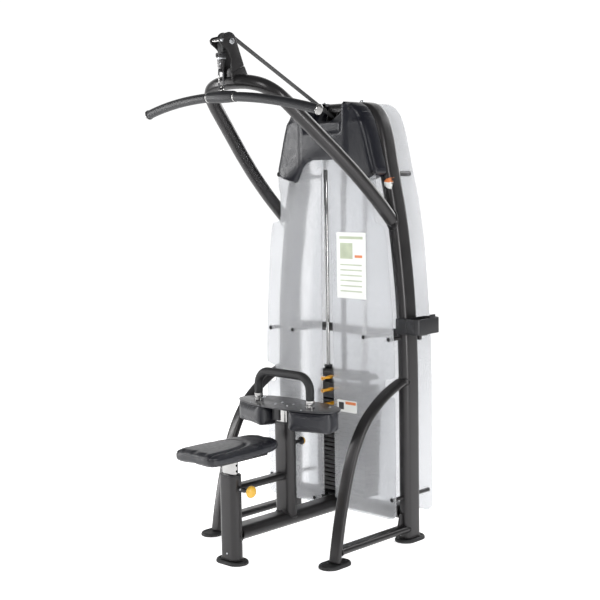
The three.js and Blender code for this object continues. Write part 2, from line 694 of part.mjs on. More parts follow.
function restingPlates() {
  const top = STACK_BOTTOM + RESTING_PLATES * PLATE_PITCH;
  const block = box(-PLATE_HALF_X, -PLATE_HALF_Y, STACK_BOTTOM,
    PLATE_HALF_X, PLATE_HALF_Y, top - GAP);
  const grooves = [];
  for (let i = 1; i < RESTING_PLATES; i += 1) {
    const z = STACK_BOTTOM + i * PLATE_PITCH;
    const outer = box(-PLATE_HALF_X - 5, -PLATE_HALF_Y - 5, z - 1.6,
      PLATE_HALF_X + 5, PLATE_HALF_Y + 5, z);
    const core = box(-PLATE_HALF_X + 7, -PLATE_HALF_Y + 7, z - 3,
      PLATE_HALF_X - 7, PLATE_HALF_Y - 7, z + 3);
    grooves.push(geometryOf(cut(solid(outer), core)));
  }
  return cut(cut(solid(block), ...bores(100, top + 20, ROD_RADIUS + 2, STEM_RADIUS + 3)),
    ...grooves);
}

function liftedPlate() {
  const z0 = STACK_BOTTOM + RESTING_PLATES * PLATE_PITCH;
  const z1 = HEAD_BOTTOM - GAP;
  return cut(solid(slab(PLATE_HALF_X, PLATE_HALF_Y, z0, z1)),
    ...bores(z0 - 5, z1 + 5, ROD_RADIUS + 2, STEM_RADIUS + GAP), pinHole(PIN_Z));
}

function headPlate() {
  const guides = [-1, 1].map((side) => turned([
    [ROD_RADIUS + 0.5, HEAD_BOTTOM], [17, HEAD_BOTTOM], [17, HEAD_TOP + 100],
    [20, HEAD_TOP + 102], [20, HEAD_TOP + 108], [ROD_RADIUS + 0.5, HEAD_TOP + 108],
    [ROD_RADIUS + 0.5, HEAD_BOTTOM],
  ], [side * ROD_X, 0, 0], [0, 0, 1], 16));
  const lug = box(-17, -12, HEAD_BOTTOM + 20, 17, 12, REAR_BELT_END);
  const body = join(slab(PLATE_HALF_X, PLATE_HALF_Y, HEAD_BOTTOM, HEAD_TOP, 14), lug);
  const drilled = cut(body,
    rod([-ROD_X, 0, HEAD_BOTTOM - 5], [-ROD_X, 0, HEAD_TOP + 5], 15, 14),
    rod([ROD_X, 0, HEAD_BOTTOM - 5], [ROD_X, 0, HEAD_TOP + 5], 15, 14));
  return guides.reduce((sum, guide) => sum.add(solid(guide)), drilled);
}

function selectorStem() {
  return cut(solid(rod([0, 0, STACK_BOTTOM + 4], [0, 0, HEAD_BOTTOM - GAP],
    STEM_RADIUS, 12)), pinHole(PIN_Z));
}

place(stack, 'resting_plates', restingPlates(), CAST);
place(stack, 'lifted_plate', liftedPlate(), CAST);
place(stack, 'head_plate', headPlate(), PLASTIC);
place(stack, 'selector_stem', selectorStem(), CHROME);

// Golf-tee shaped handle: round head at the front, shank running back along +Y.
function tee(length, radius) {
  return turned([
    [0, 0], [7, 0], [9, 2], [9, 5], [radius + 1.5, 20], [radius, 34], [radius, length],
    [0, length],
  ], [0, 0, 0], [0, 1, 0], 12);
}

for (const [i, z] of ADD_ON_Z.entries()) {
  const level = ['lower', 'upper'][i];
  const block = slab(PLATE_HALF_X - 12, PLATE_HALF_Y - 6, z - 16, z + 16, 10);
  const guides = [-1, 1].map((side) => rod([side * ROD_X, 0, z - 30],
    [side * ROD_X, 0, z + 30], 17.6, 16));
  const middle = box(-22, -17, z - 30, 22, 17, z + 30);
  const shank = rod([0, -80, z], [0, -20, z], 4.6, 12);
  place(stack, `${level}_add_on_weight`, cut(solid(block), ...guides, middle, shank), CAST);
  place(stack, `${level}_add_on_lever`, tee(141, 4), AMBER, [0, -171, z]);
}

place(stack, 'selector_pin', tee(168, PIN_RADIUS - 0.4), AMBER, [0, -160, PIN_Z]);

// ---------- shrouds ----------
// Points of an arc in a flat outline, angles in degrees.
function arc(x, z, radius, from, to, steps = 4) {
  const points = [];
  for (let i = 0; i <= steps; i += 1) {
    const angle = THREE.MathUtils.degToRad(from + ((to - from) * i) / steps);
    points.push([x + radius * Math.cos(angle), z + radius * Math.sin(angle)]);
  }
  return points;
}

function mirroredOutline(half) {
  const right = half.map(([x, z]) => new THREE.Vector2(x, z));
  const left = half.map(([x, z]) => new THREE.Vector2(-x, z)).reverse();
  return new THREE.Shape([...right, ...left]);
}

const FRONT_SHROUD_EDGE = [
  [54, 164], [54, 119], ...arc(366, 151, 32, -90, 0), [398, 660], ...arc(388, 662, 10, 0, 90, 2),
  ...arc(356, 688, 16, 270, 180, 3), ...arc(356, 736, 16, 180, 90, 3), [397, 762], [396, 850],
  [392, 930], [386, 1040], [375, 1160],
  [361, 1330], [347, 1415], [338, 1434], [302, 1442], [290, 1456], [287, 1480], [287, 1560],
  [290, 1582], [298, 1600], [298, 1650], [284, 1700], [262, 1790], [240, 1850], [222, 1890],
];
const SLOT_EDGE = [
  [20, 1672], [24, 1652], [28, 1400], [33, 1050], [36, 830], [36, 164],
];

function shroudHalf(y0, y1, spread = 1) {
  const half = [[0, 1680], [12, 1679], ...SLOT_EDGE, ...FRONT_SHROUD_EDGE, [0, 1890]];
  return prismY(new THREE.Shape(half.map(([x, z]) => new THREE.Vector2(x * spread, z))), y0, y1);
}

function frontShroud() {
  const right = shroudHalf(FRONT_SHROUD_Y, FRONT_SHROUD_Y + SHROUD_THICK);
  return join(right, mirroredX(right));
}

const REAR_SHROUD_EDGE = [
  ...arc(362, 144, 36, -90, 0), [398, 700], [394, 900], [385, 1040], [373, 1200],
  [356, 1370], [329, 1540], [294, 1680], [262, 1820], [244, 1882], [226, 1921], [198, 1953],
  [160, 1972], [110, 1977],
];

function rearShroud() {
  return prismY(mirroredOutline(REAR_SHROUD_EDGE), REAR_SHROUD_Y,
    REAR_SHROUD_Y + SHROUD_THICK);
}

place(frame, 'front_shroud', frontShroud(), FROSTED);
place(frame, 'rear_shroud', rearShroud(), FROSTED);

// ---------- head cover: open-backed shell over the top of the front shroud ----------
const COVER_EDGE = [
  [0, 1725], [72, 1724], [108, 1713], [136, 1690], [156, 1655], [172, 1626], [182, 1620],
  [256, 1637], [292, 1650], [305, 1664], [305, 1684], [288, 1740], [272, 1800], [255, 1856],
  [238, 1903], [218, 1936], [196, 1958], [165, 1974], [135, 1980], [62, 1980], [50, 1968],
  [46, 1920], [30, 1898], [0, 1893],
];

function coverOutline(inset) {
  const outer = COVER_EDGE.map(([x, z]) => {
    const shrink = 1 - inset / 230;
    return [x * shrink, z];
  });
  return mirroredOutline(outer.slice(1, -1));
}

function headCover() {
  const back = COLUMN_Y - MAIN_LONG / 2 - 6;
  const shell = new THREE.ExtrudeGeometry(coverOutline(6), {
    depth: back - COVER_FRONT_Y - 12, bevelEnabled: true, bevelThickness: 12, bevelSize: 6,
    bevelSegments: 2, curveSegments: 2,
  }).rotateX(Math.PI / 2).translate(0, back, 0);
  const rear = box(-400, back, 1500, 400, COLUMN_Y + 100, 2100);
  const hollow = [];
  for (const side of [-1, 1]) {
    const outline = [
      [52, 1890], [60, 1733], [112, 1722], [142, 1698], [160, 1668], [182, 1628], [254, 1645],
      [297, 1663], [298, 1684], [282, 1738], [266, 1798], [249, 1854], [232, 1900], [212, 1931],
      [191, 1952], [164, 1967], [135, 1973], [66, 1973], [55, 1962],
    ].map(([x, z]) => new THREE.Vector2(side * x, z));
    hollow.push(prismY(new THREE.Shape(outline), COVER_FRONT_Y + 6, back + 20));
  }
  hollow.push(box(-62, COVER_FRONT_Y + 6, 1733, 62, back + 20, 1925));
  const bottoms = [-1, 1].map((side) => prismY(new THREE.Shape([
    [182, 1600], [182, 1640], [254, 1660], [297, 1680], [297, 1600],
  ].map(([x, z]) => new THREE.Vector2(side * x, z))), COVER_FRONT_Y + 12, back + 20));
  const shroud = shroudHalf(FRONT_SHROUD_Y - GAP, back + 20, 1.002);
  return cut(solid(shell), rear, ...hollow, ...bottoms, shroud, mirroredX(shroud));
}

place(frame, 'head_cover', headCover(), COVER);

// ---------- accessory tray on the right column ----------
function tray() {
  const x = archHalfWidth(930) + MAIN_SHORT / 2 + GAP;
  const outer = prismZ(roundedRectangle(x, COLUMN_Y - 64, 478, COLUMN_Y + 100, 14), 948, 1018, 3);
  const inner = prismZ(roundedRectangle(x + 5, COLUMN_Y - 58, 472, COLUMN_Y + 94, 9), 954, 1040, 3);
  const flange = box(x - 46, COLUMN_Y - 64, 948, x + 20, COLUMN_Y - MAIN_LONG / 2 - GAP, 1018);
  const tab = box(472, COLUMN_Y + 18, 1010, 478, COLUMN_Y + 64, 1034);
  return cut(join(outer, flange, tab), inner);
}

place(frame, 'accessory_tray', tray(), PLASTIC);

// ---------- seat ----------
const POST_LONG = 80;
const POST_SHORT = 38;

function collar(top) {
  const ring = join(
    prismZ(flatOval(MAIN_LONG, MAIN_SHORT), top + GAP, top + 9, 4),
    prismZ(flatOval(MAIN_LONG - 2 * WALL - 1, MAIN_SHORT - 2 * WALL - 1), top - 50, top + 5, 4),
  );
  return cut(ring, prismZ(flatOval(POST_LONG + 1, POST_SHORT + 1), top - 60, top + 20, 4));
}

place(seat, 'seat_collar', collar(SEAT_TUBE_TOP), PLASTIC);

function seatPost() {
  const post = prismZ(flatOval(POST_LONG, POST_SHORT), 205, 462, 4);
  const plate = prismZ(roundedRectangle(-90, -150, 90, 150, 20), 460,
    SEAT_BOTTOM - GAP, 2);
  return join(post, plate);
}

place(seat, 'seat_post', seatPost(), CHROME);

const SEAT_OUTLINE = [
  [70, -212], [98, -208], [115, -196], [123, -176], [124, -140], [121, -60], [116, 20], [110, 95],
  [103, 150], [92, 192], [74, 220], [46, 234],
];

function seatPad() {
  const shape = mirroredOutline(SEAT_OUTLINE);
  return new THREE.ExtrudeGeometry(shape, {
    depth: SEAT_THICK - 24, bevelEnabled: true, bevelThickness: 12, bevelSize: 6,
    bevelSegments: 3, curveSegments: 4,
  }).translate(0, 0, SEAT_BOTTOM + 12);
}

place(seat, 'seat_pad', seatPad(), PADDING);

// Spring pin with a domed round knob, its tip towards the tube.
function springPin(direction) {
  return turned([
    [0, -6], [8, -6], [8, 14], [11, 16], [11, 30], [8, 34], [8, 58], [22, 62], [26, 68],
    [25, 74], [17, 81], [0, 84],
  ], [0, 0, 0], direction, 16);
}

place(seat, 'seat_pin', springPin([1, 0, 0]), YELLOW, [MAIN_LONG / 2 + 5, 0, SEAT_PIN_Z]);

// ---------- thigh pads ----------
place(thighs, 'thigh_collar', collar(UPRIGHT_TOP), PLASTIC);

const PLATE_OUTLINE = [
  [84, -85], [165, -69], [244, -42], [278, -19], [294, 8], [290, 42], [260, 88], [200, 120],
  [122, 135],
];

function thighPlate() {
  return prismZ(mirroredOutline(PLATE_OUTLINE), PAD_TOP + GAP, THIGH_PLATE_TOP);
}

function thighPost() {
  const post = prismZ(flatOval(POST_LONG, POST_SHORT), 300, PAD_TOP, 4);
  const bracket = box(-50, -31, UPRIGHT_TOP + 13, -6, -18, PAD_TOP);
  return join(post, bracket);
}

function thighPad(side) {
  const shape = roundedRectangle(0, 0, 221, 112, 26);
  const pad = new THREE.ExtrudeGeometry(shape, {
    depth: PAD_TOP - PAD_BOTTOM - 20, bevelEnabled: true, bevelThickness: 10, bevelSize: 8,
    bevelOffset: -8, bevelSegments: 2, curveSegments: 3,
  }).rotateZ(PAD_SWEEP).translate(80, -82, PAD_BOTTOM + 10);
  return side > 0 ? pad : mirroredX(pad);
}

place(thighs, 'thigh_plate', thighPlate(), PLATE_GREY);
place(thighs, 'thigh_post', thighPost(), CHROME);
place(thighs, 'left_thigh_pad', thighPad(-1), PADDING);
place(thighs, 'right_thigh_pad', thighPad(1), PADDING);
place(thighs, 'thigh_pin', springPin([0, 1, 0]), PLASTIC, [0, MAIN_SHORT / 2 + 5, THIGH_PIN_Z]);

const HANDLE_X = 160;
const HANDLE_Y = -4;
const HANDLE_TOP = 780;
const HANDLE_BEND = 62;

function handleCurve(bottom) {
  const points = [];
  for (const side of [1, -1]) {
    const half = [new THREE.Vector3(side * HANDLE_X, HANDLE_Y, bottom)];
    for (const angle of [0, 22, 45, 68, 90]) {
      const a = THREE.MathUtils.degToRad(angle);
      half.push(new THREE.Vector3(side * (HANDLE_X - HANDLE_BEND * (1 - Math.cos(a))), HANDLE_Y,
        HANDLE_TOP - HANDLE_BEND * (1 - Math.sin(a))));
    }
    points.push(...(side > 0 ? half : half.reverse()));
  }
  return new Route(points);
}

function handleTube() {
  const ferrules = [-1, 1].map((side) => turned([
    [0, THIGH_PLATE_TOP + GAP], [20.5, THIGH_PLATE_TOP + GAP], [20.5, THIGH_PLATE_TOP + 12],
    [18, THIGH_PLATE_TOP + 15], [19.5, THIGH_PLATE_TOP + 18], [19.5, THIGH_PLATE_TOP + 36],
    [0, THIGH_PLATE_TOP + 36],
  ], [side * HANDLE_X, HANDLE_Y, 0], [0, 0, 1], 20));
  return join(sweep(circle(11), handleCurve(THIGH_PLATE_TOP + 5), 5), ...ferrules);
}

function handleGrip() {
  const section = circle(19);
  section.holes.push(circle(12));
  return sweep(section, handleCurve(THIGH_PLATE_TOP + 37), 5);
}

place(thighs, 'handle_tube', handleTube(), CHROME);
place(thighs, 'handle_grip', handleGrip(), FOAM);

export default machine;
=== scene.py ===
import math

import bpy
import bmesh
import numpy as np
from mathutils import Matrix, Vector
from mathutils.geometry import delaunay_2d_cdt


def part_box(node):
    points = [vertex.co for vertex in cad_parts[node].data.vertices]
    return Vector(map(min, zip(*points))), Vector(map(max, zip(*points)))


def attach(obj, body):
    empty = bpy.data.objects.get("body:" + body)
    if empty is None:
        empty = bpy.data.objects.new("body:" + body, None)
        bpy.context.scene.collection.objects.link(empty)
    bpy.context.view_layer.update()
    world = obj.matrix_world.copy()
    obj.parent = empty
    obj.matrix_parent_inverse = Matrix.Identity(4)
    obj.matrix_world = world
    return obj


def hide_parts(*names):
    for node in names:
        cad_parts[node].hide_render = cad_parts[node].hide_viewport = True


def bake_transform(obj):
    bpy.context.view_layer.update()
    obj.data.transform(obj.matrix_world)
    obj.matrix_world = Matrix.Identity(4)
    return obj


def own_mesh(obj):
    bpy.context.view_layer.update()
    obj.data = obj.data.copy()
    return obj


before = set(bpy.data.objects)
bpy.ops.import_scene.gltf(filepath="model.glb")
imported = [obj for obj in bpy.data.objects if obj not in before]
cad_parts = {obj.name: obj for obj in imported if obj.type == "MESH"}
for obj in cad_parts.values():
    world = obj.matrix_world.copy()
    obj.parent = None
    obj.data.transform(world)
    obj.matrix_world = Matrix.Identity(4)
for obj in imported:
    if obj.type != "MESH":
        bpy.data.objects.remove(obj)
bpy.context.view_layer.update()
MM = 0.001
X, Y, Z = Vector((1, 0, 0)), Vector((0, 1, 0)), Vector((0, 0, 1))


def middle(node):
    low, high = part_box(node)
    return (low + high) / 2


# ---------- places taken from the CAD model, in millimetres ----------
COLUMN_Y = middle("left_guide_rod").y / MM        # plane of the arch
SEAT_Y = middle("seat_tube").y / MM
UPRIGHT_Y = middle("pad_upright").y / MM
COLUMN_X = middle("right_column_foot").x / MM
ROD_X = middle("right_guide_rod").x / MM
BEAM_Z = 1950.0
SEAT_PIN_Z, THIGH_PIN_Z, HOLE_PITCH = 0.331, 0.459, 0.025   # in metres
BASE_Z = middle("base_beam").z / MM


def at(x, y, z):
    """Point given in millimetres, with y counted from the arch plane."""
    return Vector((x, COLUMN_Y + y, z)) * MM


# ---------- materials ----------
def new_material(name, color, roughness, metallic=0.0):
    mat = bpy.data.materials.new(name)
    mat.use_nodes = True
    nodes = mat.node_tree.nodes
    shader = nodes["Principled BSDF"]
    shader.inputs["Base Color"].default_value = (*color, 1)
    shader.inputs["Roughness"].default_value = roughness
    shader.inputs["Metallic"].default_value = metallic
    return mat, nodes, mat.node_tree.links, shader


def object_coords(nodes):
    return nodes.new("ShaderNodeTexCoord").outputs["Object"]


def noise(nodes, links, coords, scale, detail=3.0, rough=0.55):
    node = nodes.new("ShaderNodeTexNoise")
    node.inputs["Scale"].default_value = scale
    node.inputs["Detail"].default_value = detail
    node.inputs["Roughness"].default_value = rough
    links.new(coords, node.inputs["Vector"])
    return node


def ramp(nodes, links, value, low, high, start=0.3, end=0.7):
    node = nodes.new("ShaderNodeValToRGB")
    node.color_ramp.elements[0].position = start
    node.color_ramp.elements[0].color = (*low, 1)
    node.color_ramp.elements[1].position = end
    node.color_ramp.elements[1].color = (*high, 1)
    links.new(value, node.inputs["Fac"])
    return node.outputs["Color"]


def spread(nodes, links, value, low, high, start=0.3, end=0.7):
    node = nodes.new("ShaderNodeMapRange")
    node.inputs["From Min"].default_value = start
    node.inputs["From Max"].default_value = end
    node.inputs["To Min"].default_value = low
    node.inputs["To Max"].default_value = high
    links.new(value, node.inputs["Value"])
    return node.outputs["Result"]


def bump(nodes, links, shader, height, strength, distance):
    node = nodes.new("ShaderNodeBump")
    node.inputs["Strength"].default_value = strength
    node.inputs["Distance"].default_value = distance
    links.new(height, node.inputs["Height"])
    links.new(node.outputs["Normal"], shader.inputs["Normal"])


def tint(color, factor):
    return tuple(min(1.0, c * factor) for c in color)


def varied(name, color, roughness, metallic=0.0, patch=6.0, grain=900.0, depth=0.00015,
           strength=0.25, swing=0.14, coat=0.0, coat_rough=0.1):
    """Surface with a slow colour drift, a changing gloss and a fine grain."""
    mat, nodes, links, shader = new_material(name, color, roughness, metallic)
    coords = object_coords(nodes)
    slow = noise(nodes, links, coords, patch, 4.0)
    links.new(ramp(nodes, links, slow.outputs["Fac"], tint(color, 1 - swing), tint(color, 1 + swing)),
              shader.inputs["Base Color"])
    mid = noise(nodes, links, coords, patch * 9, 4.0)
    links.new(spread(nodes, links, mid.outputs["Fac"], roughness * 0.85, min(1, roughness * 1.2)),
              shader.inputs["Roughness"])
    fine = noise(nodes, links, coords, grain, 2.0)
    bump(nodes, links, shader, fine.outputs["Fac"], strength, depth)
    shader.inputs["Coat Weight"].default_value = coat
    shader.inputs["Coat Roughness"].default_value = coat_rough
    return mat


def paint_material():
    """Dark metallic powder coat: fine flakes under a thin clear coat."""
    color = (0.028, 0.0265, 0.0275)
    mat, nodes, links, shader = new_material("paint", color, 0.34, 0.55)
    coords = object_coords(nodes)
    flake = nodes.new("ShaderNodeTexVoronoi")
    flake.inputs["Scale"].default_value = 1400.0
    links.new(coords, flake.inputs["Vector"])
    links.new(ramp(nodes, links, flake.outputs["Distance"], tint(color, 1.2), tint(color, 0.9),
                   0.05, 0.6), shader.inputs["Base Color"])
    slow = noise(nodes, links, coords, 14.0, 4.0)
    links.new(spread(nodes, links, slow.outputs["Fac"], 0.30, 0.42), shader.inputs["Roughness"])
    peel = noise(nodes, links, coords, 420.0, 2.0)
    bump(nodes, links, shader, peel.outputs["Fac"], 0.10, 0.0002)
    shader.inputs["Coat Weight"].default_value = 0.22
    shader.inputs["Coat Roughness"].default_value = 0.16
    return mat


def leather_material():
    """Upholstery vinyl: small pebbled cells with darker creases."""
    color = (0.007, 0.0075, 0.012)
    mat, nodes, links, shader = new_material("upholstery", color, 0.42)
    coords = object_coords(nodes)
    cells = nodes.new("ShaderNodeTexVoronoi")
    cells.inputs["Scale"].default_value = 620.0
    cells.feature = "SMOOTH_F1"
    links.new(coords, cells.inputs["Vector"])
    wrinkles = noise(nodes, links, coords, 55.0, 5.0, 0.6)
    mix = nodes.new("ShaderNodeMath")
    mix.operation = "MULTIPLY_ADD"
    mix.inputs[1].default_value = 0.45
    links.new(cells.outputs["Distance"], mix.inputs[0])
    links.new(wrinkles.outputs["Fac"], mix.inputs[2])
    bump(nodes, links, shader, mix.outputs[0], 0.22, 0.0007)
    slow = noise(nodes, links, coords, 9.0, 4.0)
    links.new(ramp(nodes, links, slow.outputs["Fac"], tint(color, 0.8), tint(color, 1.3)),
              shader.inputs["Base Color"])
    links.new(spread(nodes, links, wrinkles.outputs["Fac"], 0.34, 0.5), shader.inputs["Roughness"])
    shader.inputs["Specular IOR Level"].default_value = 0.5
    shader.inputs["Coat Weight"].default_value = 0.25
    shader.inputs["Coat Roughness"].default_value = 0.32
    return mat


def frosted_material():
    """Frosted acrylic sheet: pale, lets soft shadows of what is near it through."""
    color = (0.80, 0.81, 0.83)
    mat, nodes, links, shader = new_material("frosted", color, 0.25)
    coords = object_coords(nodes)
    slow = noise(nodes, links, coords, 3.0, 3.0)
    links.new(ramp(nodes, links, slow.outputs["Fac"], tint(color, 0.97), tint(color, 1.02)),
              shader.inputs["Base Color"])
    fine = noise(nodes, links, coords, 1100.0, 2.0)
    bump(nodes, links, shader, fine.outputs["Fac"], 0.2, 0.0001)
    links.new(spread(nodes, links, fine.outputs["Fac"], 0.23, 0.29), shader.inputs["Roughness"])
    shader.inputs["Transmission Weight"].default_value = 0.74
    shader.inputs["IOR"].default_value = 1.12
    return mat


def belt_material():
    """Ribbed drive belt: fine ribs across its width."""
    color = (0.03, 0.03, 0.031)
    mat, nodes, links, shader = new_material("belt", color, 0.6)
    coords = object_coords(nodes)
    ribs = nodes.new("ShaderNodeTexWave")
    ribs.bands_direction = "X"
    ribs.inputs["Scale"].default_value = 110.0
    ribs.inputs["Distortion"].default_value = 0.4
    links.new(coords, ribs.inputs["Vector"])
    bump(nodes, links, shader, ribs.outputs["Fac"], 0.5, 0.0006)
    slow = noise(nodes, links, coords, 30.0, 4.0)
    links.new(ramp(nodes, links, slow.outputs["Fac"], tint(color, 0.8), tint(color, 1.4)),
              shader.inputs["Base Color"])
    return mat


PAINT = paint_material()
CHROME = varied("chrome", (0.42, 0.415, 0.41), 0.13, 1.0, patch=20, grain=260, depth=0.00005,
                strength=0.1, swing=0.05)
STEEL = varied("zinc_bolts", (0.52, 0.53, 0.55), 0.28, 1.0, patch=60, grain=1500, swing=0.12)
RUBBER = varied("rubber", (0.014, 0.014, 0.015), 0.62, patch=12, grain=700, depth=0.0004,
                strength=0.35, swing=0.25)
GRIP = varied("grip_rubber", (0.007, 0.0075, 0.010), 0.42, patch=14, grain=700, depth=0.0001,
              strength=0.2, swing=0.2)
FOAM = varied("handle_foam", (0.007, 0.007, 0.008), 0.58, patch=20, grain=1300, depth=0.0005,
              strength=0.5, swing=0.25)
PLASTIC = varied("black_plastic", (0.008, 0.008, 0.010), 0.42, patch=10, grain=1100, depth=0.0002,
                 strength=0.25, swing=0.2)
COVER = varied("cover_plastic", (0.003, 0.0036, 0.0085), 0.33, patch=5, grain=1200, depth=0.0003,
               strength=0.35, swing=0.12)
PLATE = varied("plate_paint", (0.050, 0.050, 0.054), 0.34, 0.6, patch=10, grain=900, depth=0.0001,
               strength=0.2, swing=0.08, coat=0.15)
CAST = varied("cast_iron", (0.034, 0.032, 0.031), 0.5, 0.2, patch=25, grain=420, depth=0.0006,
              strength=0.5, swing=0.3)
YELLOW = varied("yellow_plastic", (0.72, 0.42, 0.045), 0.32, patch=30, grain=900, swing=0.06,
                coat=0.3)
AMBER = varied("amber_plastic", (0.72, 0.34, 0.02), 0.3, patch=30, grain=900, swing=0.08, coat=0.3)
LABEL = varied("label_sheet", (0.74, 0.75, 0.73), 0.4, patch=20, grain=900, swing=0.03)
LABEL_MARK = varied("label_mark", (0.42, 0.47, 0.34), 0.45, patch=20, grain=900, swing=0.1)
LABEL_BAND = varied("label_band", (0.66, 0.20, 0.06), 0.45, patch=20, grain=900, swing=0.08)
LEATHER = leather_material()
FROSTED = frosted_material()
BELT = belt_material()


# ---------- mesh helpers ----------
def smooth_shaded(obj, sharp=None):
    """Smooth shading, with edges steeper than 'sharp' degrees left crisp."""
    obj.data.polygons.foreach_set("use_smooth", [True] * len(obj.data.polygons))
    if sharp is not None:
        obj.data.set_sharp_from_angle(angle=math.radians(sharp))


def mesh_object(name, vertices, faces, mat, smooth=True, sharp=38.0):
    mesh = bpy.data.meshes.new(name)
    mesh.from_pydata([tuple(v) for v in vertices], [], faces)
    mesh.validate()
    obj = bpy.data.objects.new(name, mesh)
    bpy.context.scene.collection.objects.link(obj)
    tidy_mesh(obj, smooth, sharp)
    mesh.materials.append(mat)
    return obj


def tidy_mesh(obj, smooth=True, sharp=38.0):
    """Turns the faces outward; flat shading stays where smooth is off."""
    work = bmesh.new()
    work.from_mesh(obj.data)
    bmesh.ops.recalc_face_normals(work, faces=work.faces)
    work.to_mesh(obj.data)
    work.free()
    if smooth:
        smooth_shaded(obj, sharp)


def apply_modifiers(obj):
    graph = bpy.context.evaluated_depsgraph_get()
    graph.update()
    mesh = bpy.data.meshes.new_from_object(obj.evaluated_get(graph))
    obj.modifiers.clear()
    old = obj.data
    obj.data = mesh
    bpy.data.meshes.remove(old)


def bevelled(obj, width, segments=3):
    mod = obj.modifiers.new("Bevel", "BEVEL")
    mod.width = width
    mod.segments = segments
    mod.limit_method = "ANGLE"
    mod.angle_limit = math.radians(35)
    apply_modifiers(obj)
    smooth_shaded(obj, 30)


def joined(name, objects):
    """One object made of several, keeping their materials."""
    bpy.ops.object.select_all(action="DESELECT")
    for obj in objects:
        obj.select_set(True)
    bpy.context.view_layer.objects.active = objects[0]
    bpy.ops.object.join()
    objects[0].name = name
    objects[0].data.name = name
    return objects[0]


def flat_oval(width, height, arc=14):
    radius = min(width, height) / 2
    reach = abs(width - height) / 2
    points = []
    for side in (0, 1):
        for i in range(arc + 1):
            angle = -math.pi / 2 + math.pi * i / arc + math.pi * side
            offset = reach if side == 0 else -reach
            points.append((offset + radius * math.cos(angle), radius * math.sin(angle)))
    if height > width:
        points = [(-y, x) for x, y in points]
    return points


def circle(radius, sides=32):
    return [(radius * math.cos(2 * math.pi * i / sides), radius * math.sin(2 * math.pi * i / sides))
            for i in range(sides)]


def spline(points, step):
    """Evenly stepped centripetal curve through 3-D points."""
    pts = [np.array(p, float) for p in points]
    ext = [2 * pts[0] - pts[1], *pts, 2 * pts[-1] - pts[-2]]
    dense = []
    for i in range(1, len(ext) - 2):
        p0, p1, p2, p3 = ext[i - 1:i + 3]
        t0 = 0.0
        t1 = t0 + np.linalg.norm(p1 - p0) ** 0.5
        t2 = t1 + np.linalg.norm(p2 - p1) ** 0.5
        t3 = t2 + np.linalg.norm(p3 - p2) ** 0.5
        for t in np.linspace(t1, t2, 16, endpoint=False):
            a1 = (t1 - t) / (t1 - t0) * p0 + (t - t0) / (t1 - t0) * p1
            a2 = (t2 - t) / (t2 - t1) * p1 + (t - t1) / (t2 - t1) * p2
            a3 = (t3 - t) / (t3 - t2) * p2 + (t - t2) / (t3 - t2) * p3
            b1 = (t2 - t) / (t2 - t0) * a1 + (t - t0) / (t2 - t0) * a2
            b2 = (t3 - t) / (t3 - t1) * a2 + (t - t1) / (t3 - t1) * a3
            dense.append((t2 - t) / (t2 - t1) * b1 + (t - t1) / (t2 - t1) * b2)
    dense.append(pts[-1])
    dense = np.array(dense)
    length = np.concatenate([[0], np.cumsum(np.linalg.norm(np.diff(dense, axis=0), axis=1))])
    count = max(2, int(round(length[-1] / step)) + 1)
    even = np.linspace(0, length[-1], count)
    return [Vector([np.interp(s, length, dense[:, k]) for k in range(3)]) for s in even]


def sweep(name, section, path, side, mat, closed=False, sharp=38.0, scale=None):
    """Tube of a flat section along a path. The section's x follows 'side', square to the path."""
    path = [Vector(p) for p in path]
    count, ring = len(path), len(section)
    vertices = []
    for i, p in enumerate(path):
        before = path[(i - 1) % count] if closed or i > 0 else p
        after = path[(i + 1) % count] if closed or i < count - 1 else p
        tangent = (after - before).normalized()
        across = (side - side.dot(tangent) * tangent).normalized()
        up = tangent.cross(across)
        size = scale[i] if scale is not None else 1.0
        vertices += [p + across * (u * size) + up * (v * size) for u, v in section]
    faces = []
    for i in range(count if closed else count - 1):
        j = (i + 1) % count
        for k in range(ring):
            m = (k + 1) % ring
            faces.append((i * ring + k, i * ring + m, j * ring + m, j * ring + k))
    if not closed:
        faces.append(tuple(range(ring)))
        faces.append(tuple((count - 1) * ring + k for k in range(ring)))
    return mesh_object(name, vertices, faces, mat, sharp=sharp)


def lathe(name, profile, origin, axis, mat, sides=40, sharp=38.0):
    """Turned solid: [radius, distance] pairs in metres about an axis through origin."""
    axis = axis.normalized()
    u = axis.orthogonal().normalized()
    v = axis.cross(u)
    vertices, faces, rings = [], [], []
    for radius, distance in profile:
        centre = origin + axis * distance
        if radius < 1e-7:
            rings.append([len(vertices)])
            vertices.append(centre)
            continue
        rings.append(list(range(len(vertices), len(vertices) + sides)))
        for i in range(sides):
            angle = 2 * math.pi * i / sides
            vertices.append(centre + radius * (math.cos(angle) * u + math.sin(angle) * v))
    for a, b in zip(rings, rings[1:]):
        for i in range(sides):
            j = (i + 1) % sides
            if len(a) == 1 and len(b) == 1:
                continue
            if len(a) == 1:
                faces.append((a[0], b[i], b[j]))
            elif len(b) == 1:
                faces.append((a[i], b[0], a[j]))
            else:
                faces.append((a[i], b[i], b[j], a[j]))
    return mesh_object(name, vertices, faces, mat, sharp=sharp)


def mm(points):
    """Pairs given in millimetres, in metres."""
    return [(a * MM, b * MM) for a, b in points]


def slab(name, outline, u_axis, v_axis, origin, depth, mat, bevel=0.0, segments=3):
    """Flat outline (u, v pairs in metres) given a thickness along u x v, with softened edges."""
    n = u_axis.cross(v_axis)
    base = [origin + u_axis * u + v_axis * v for u, v in outline]
    top = [p + n * depth for p in base]
    count = len(outline)
    faces = [tuple(range(count - 1, -1, -1)), tuple(range(count, 2 * count))]
    faces += [(i, (i + 1) % count, count + (i + 1) % count, count + i) for i in range(count)]
    obj = mesh_object(name, base + top, faces, mat, smooth=False)
    if bevel > 0:
        bevelled(obj, bevel, segments)
    return obj


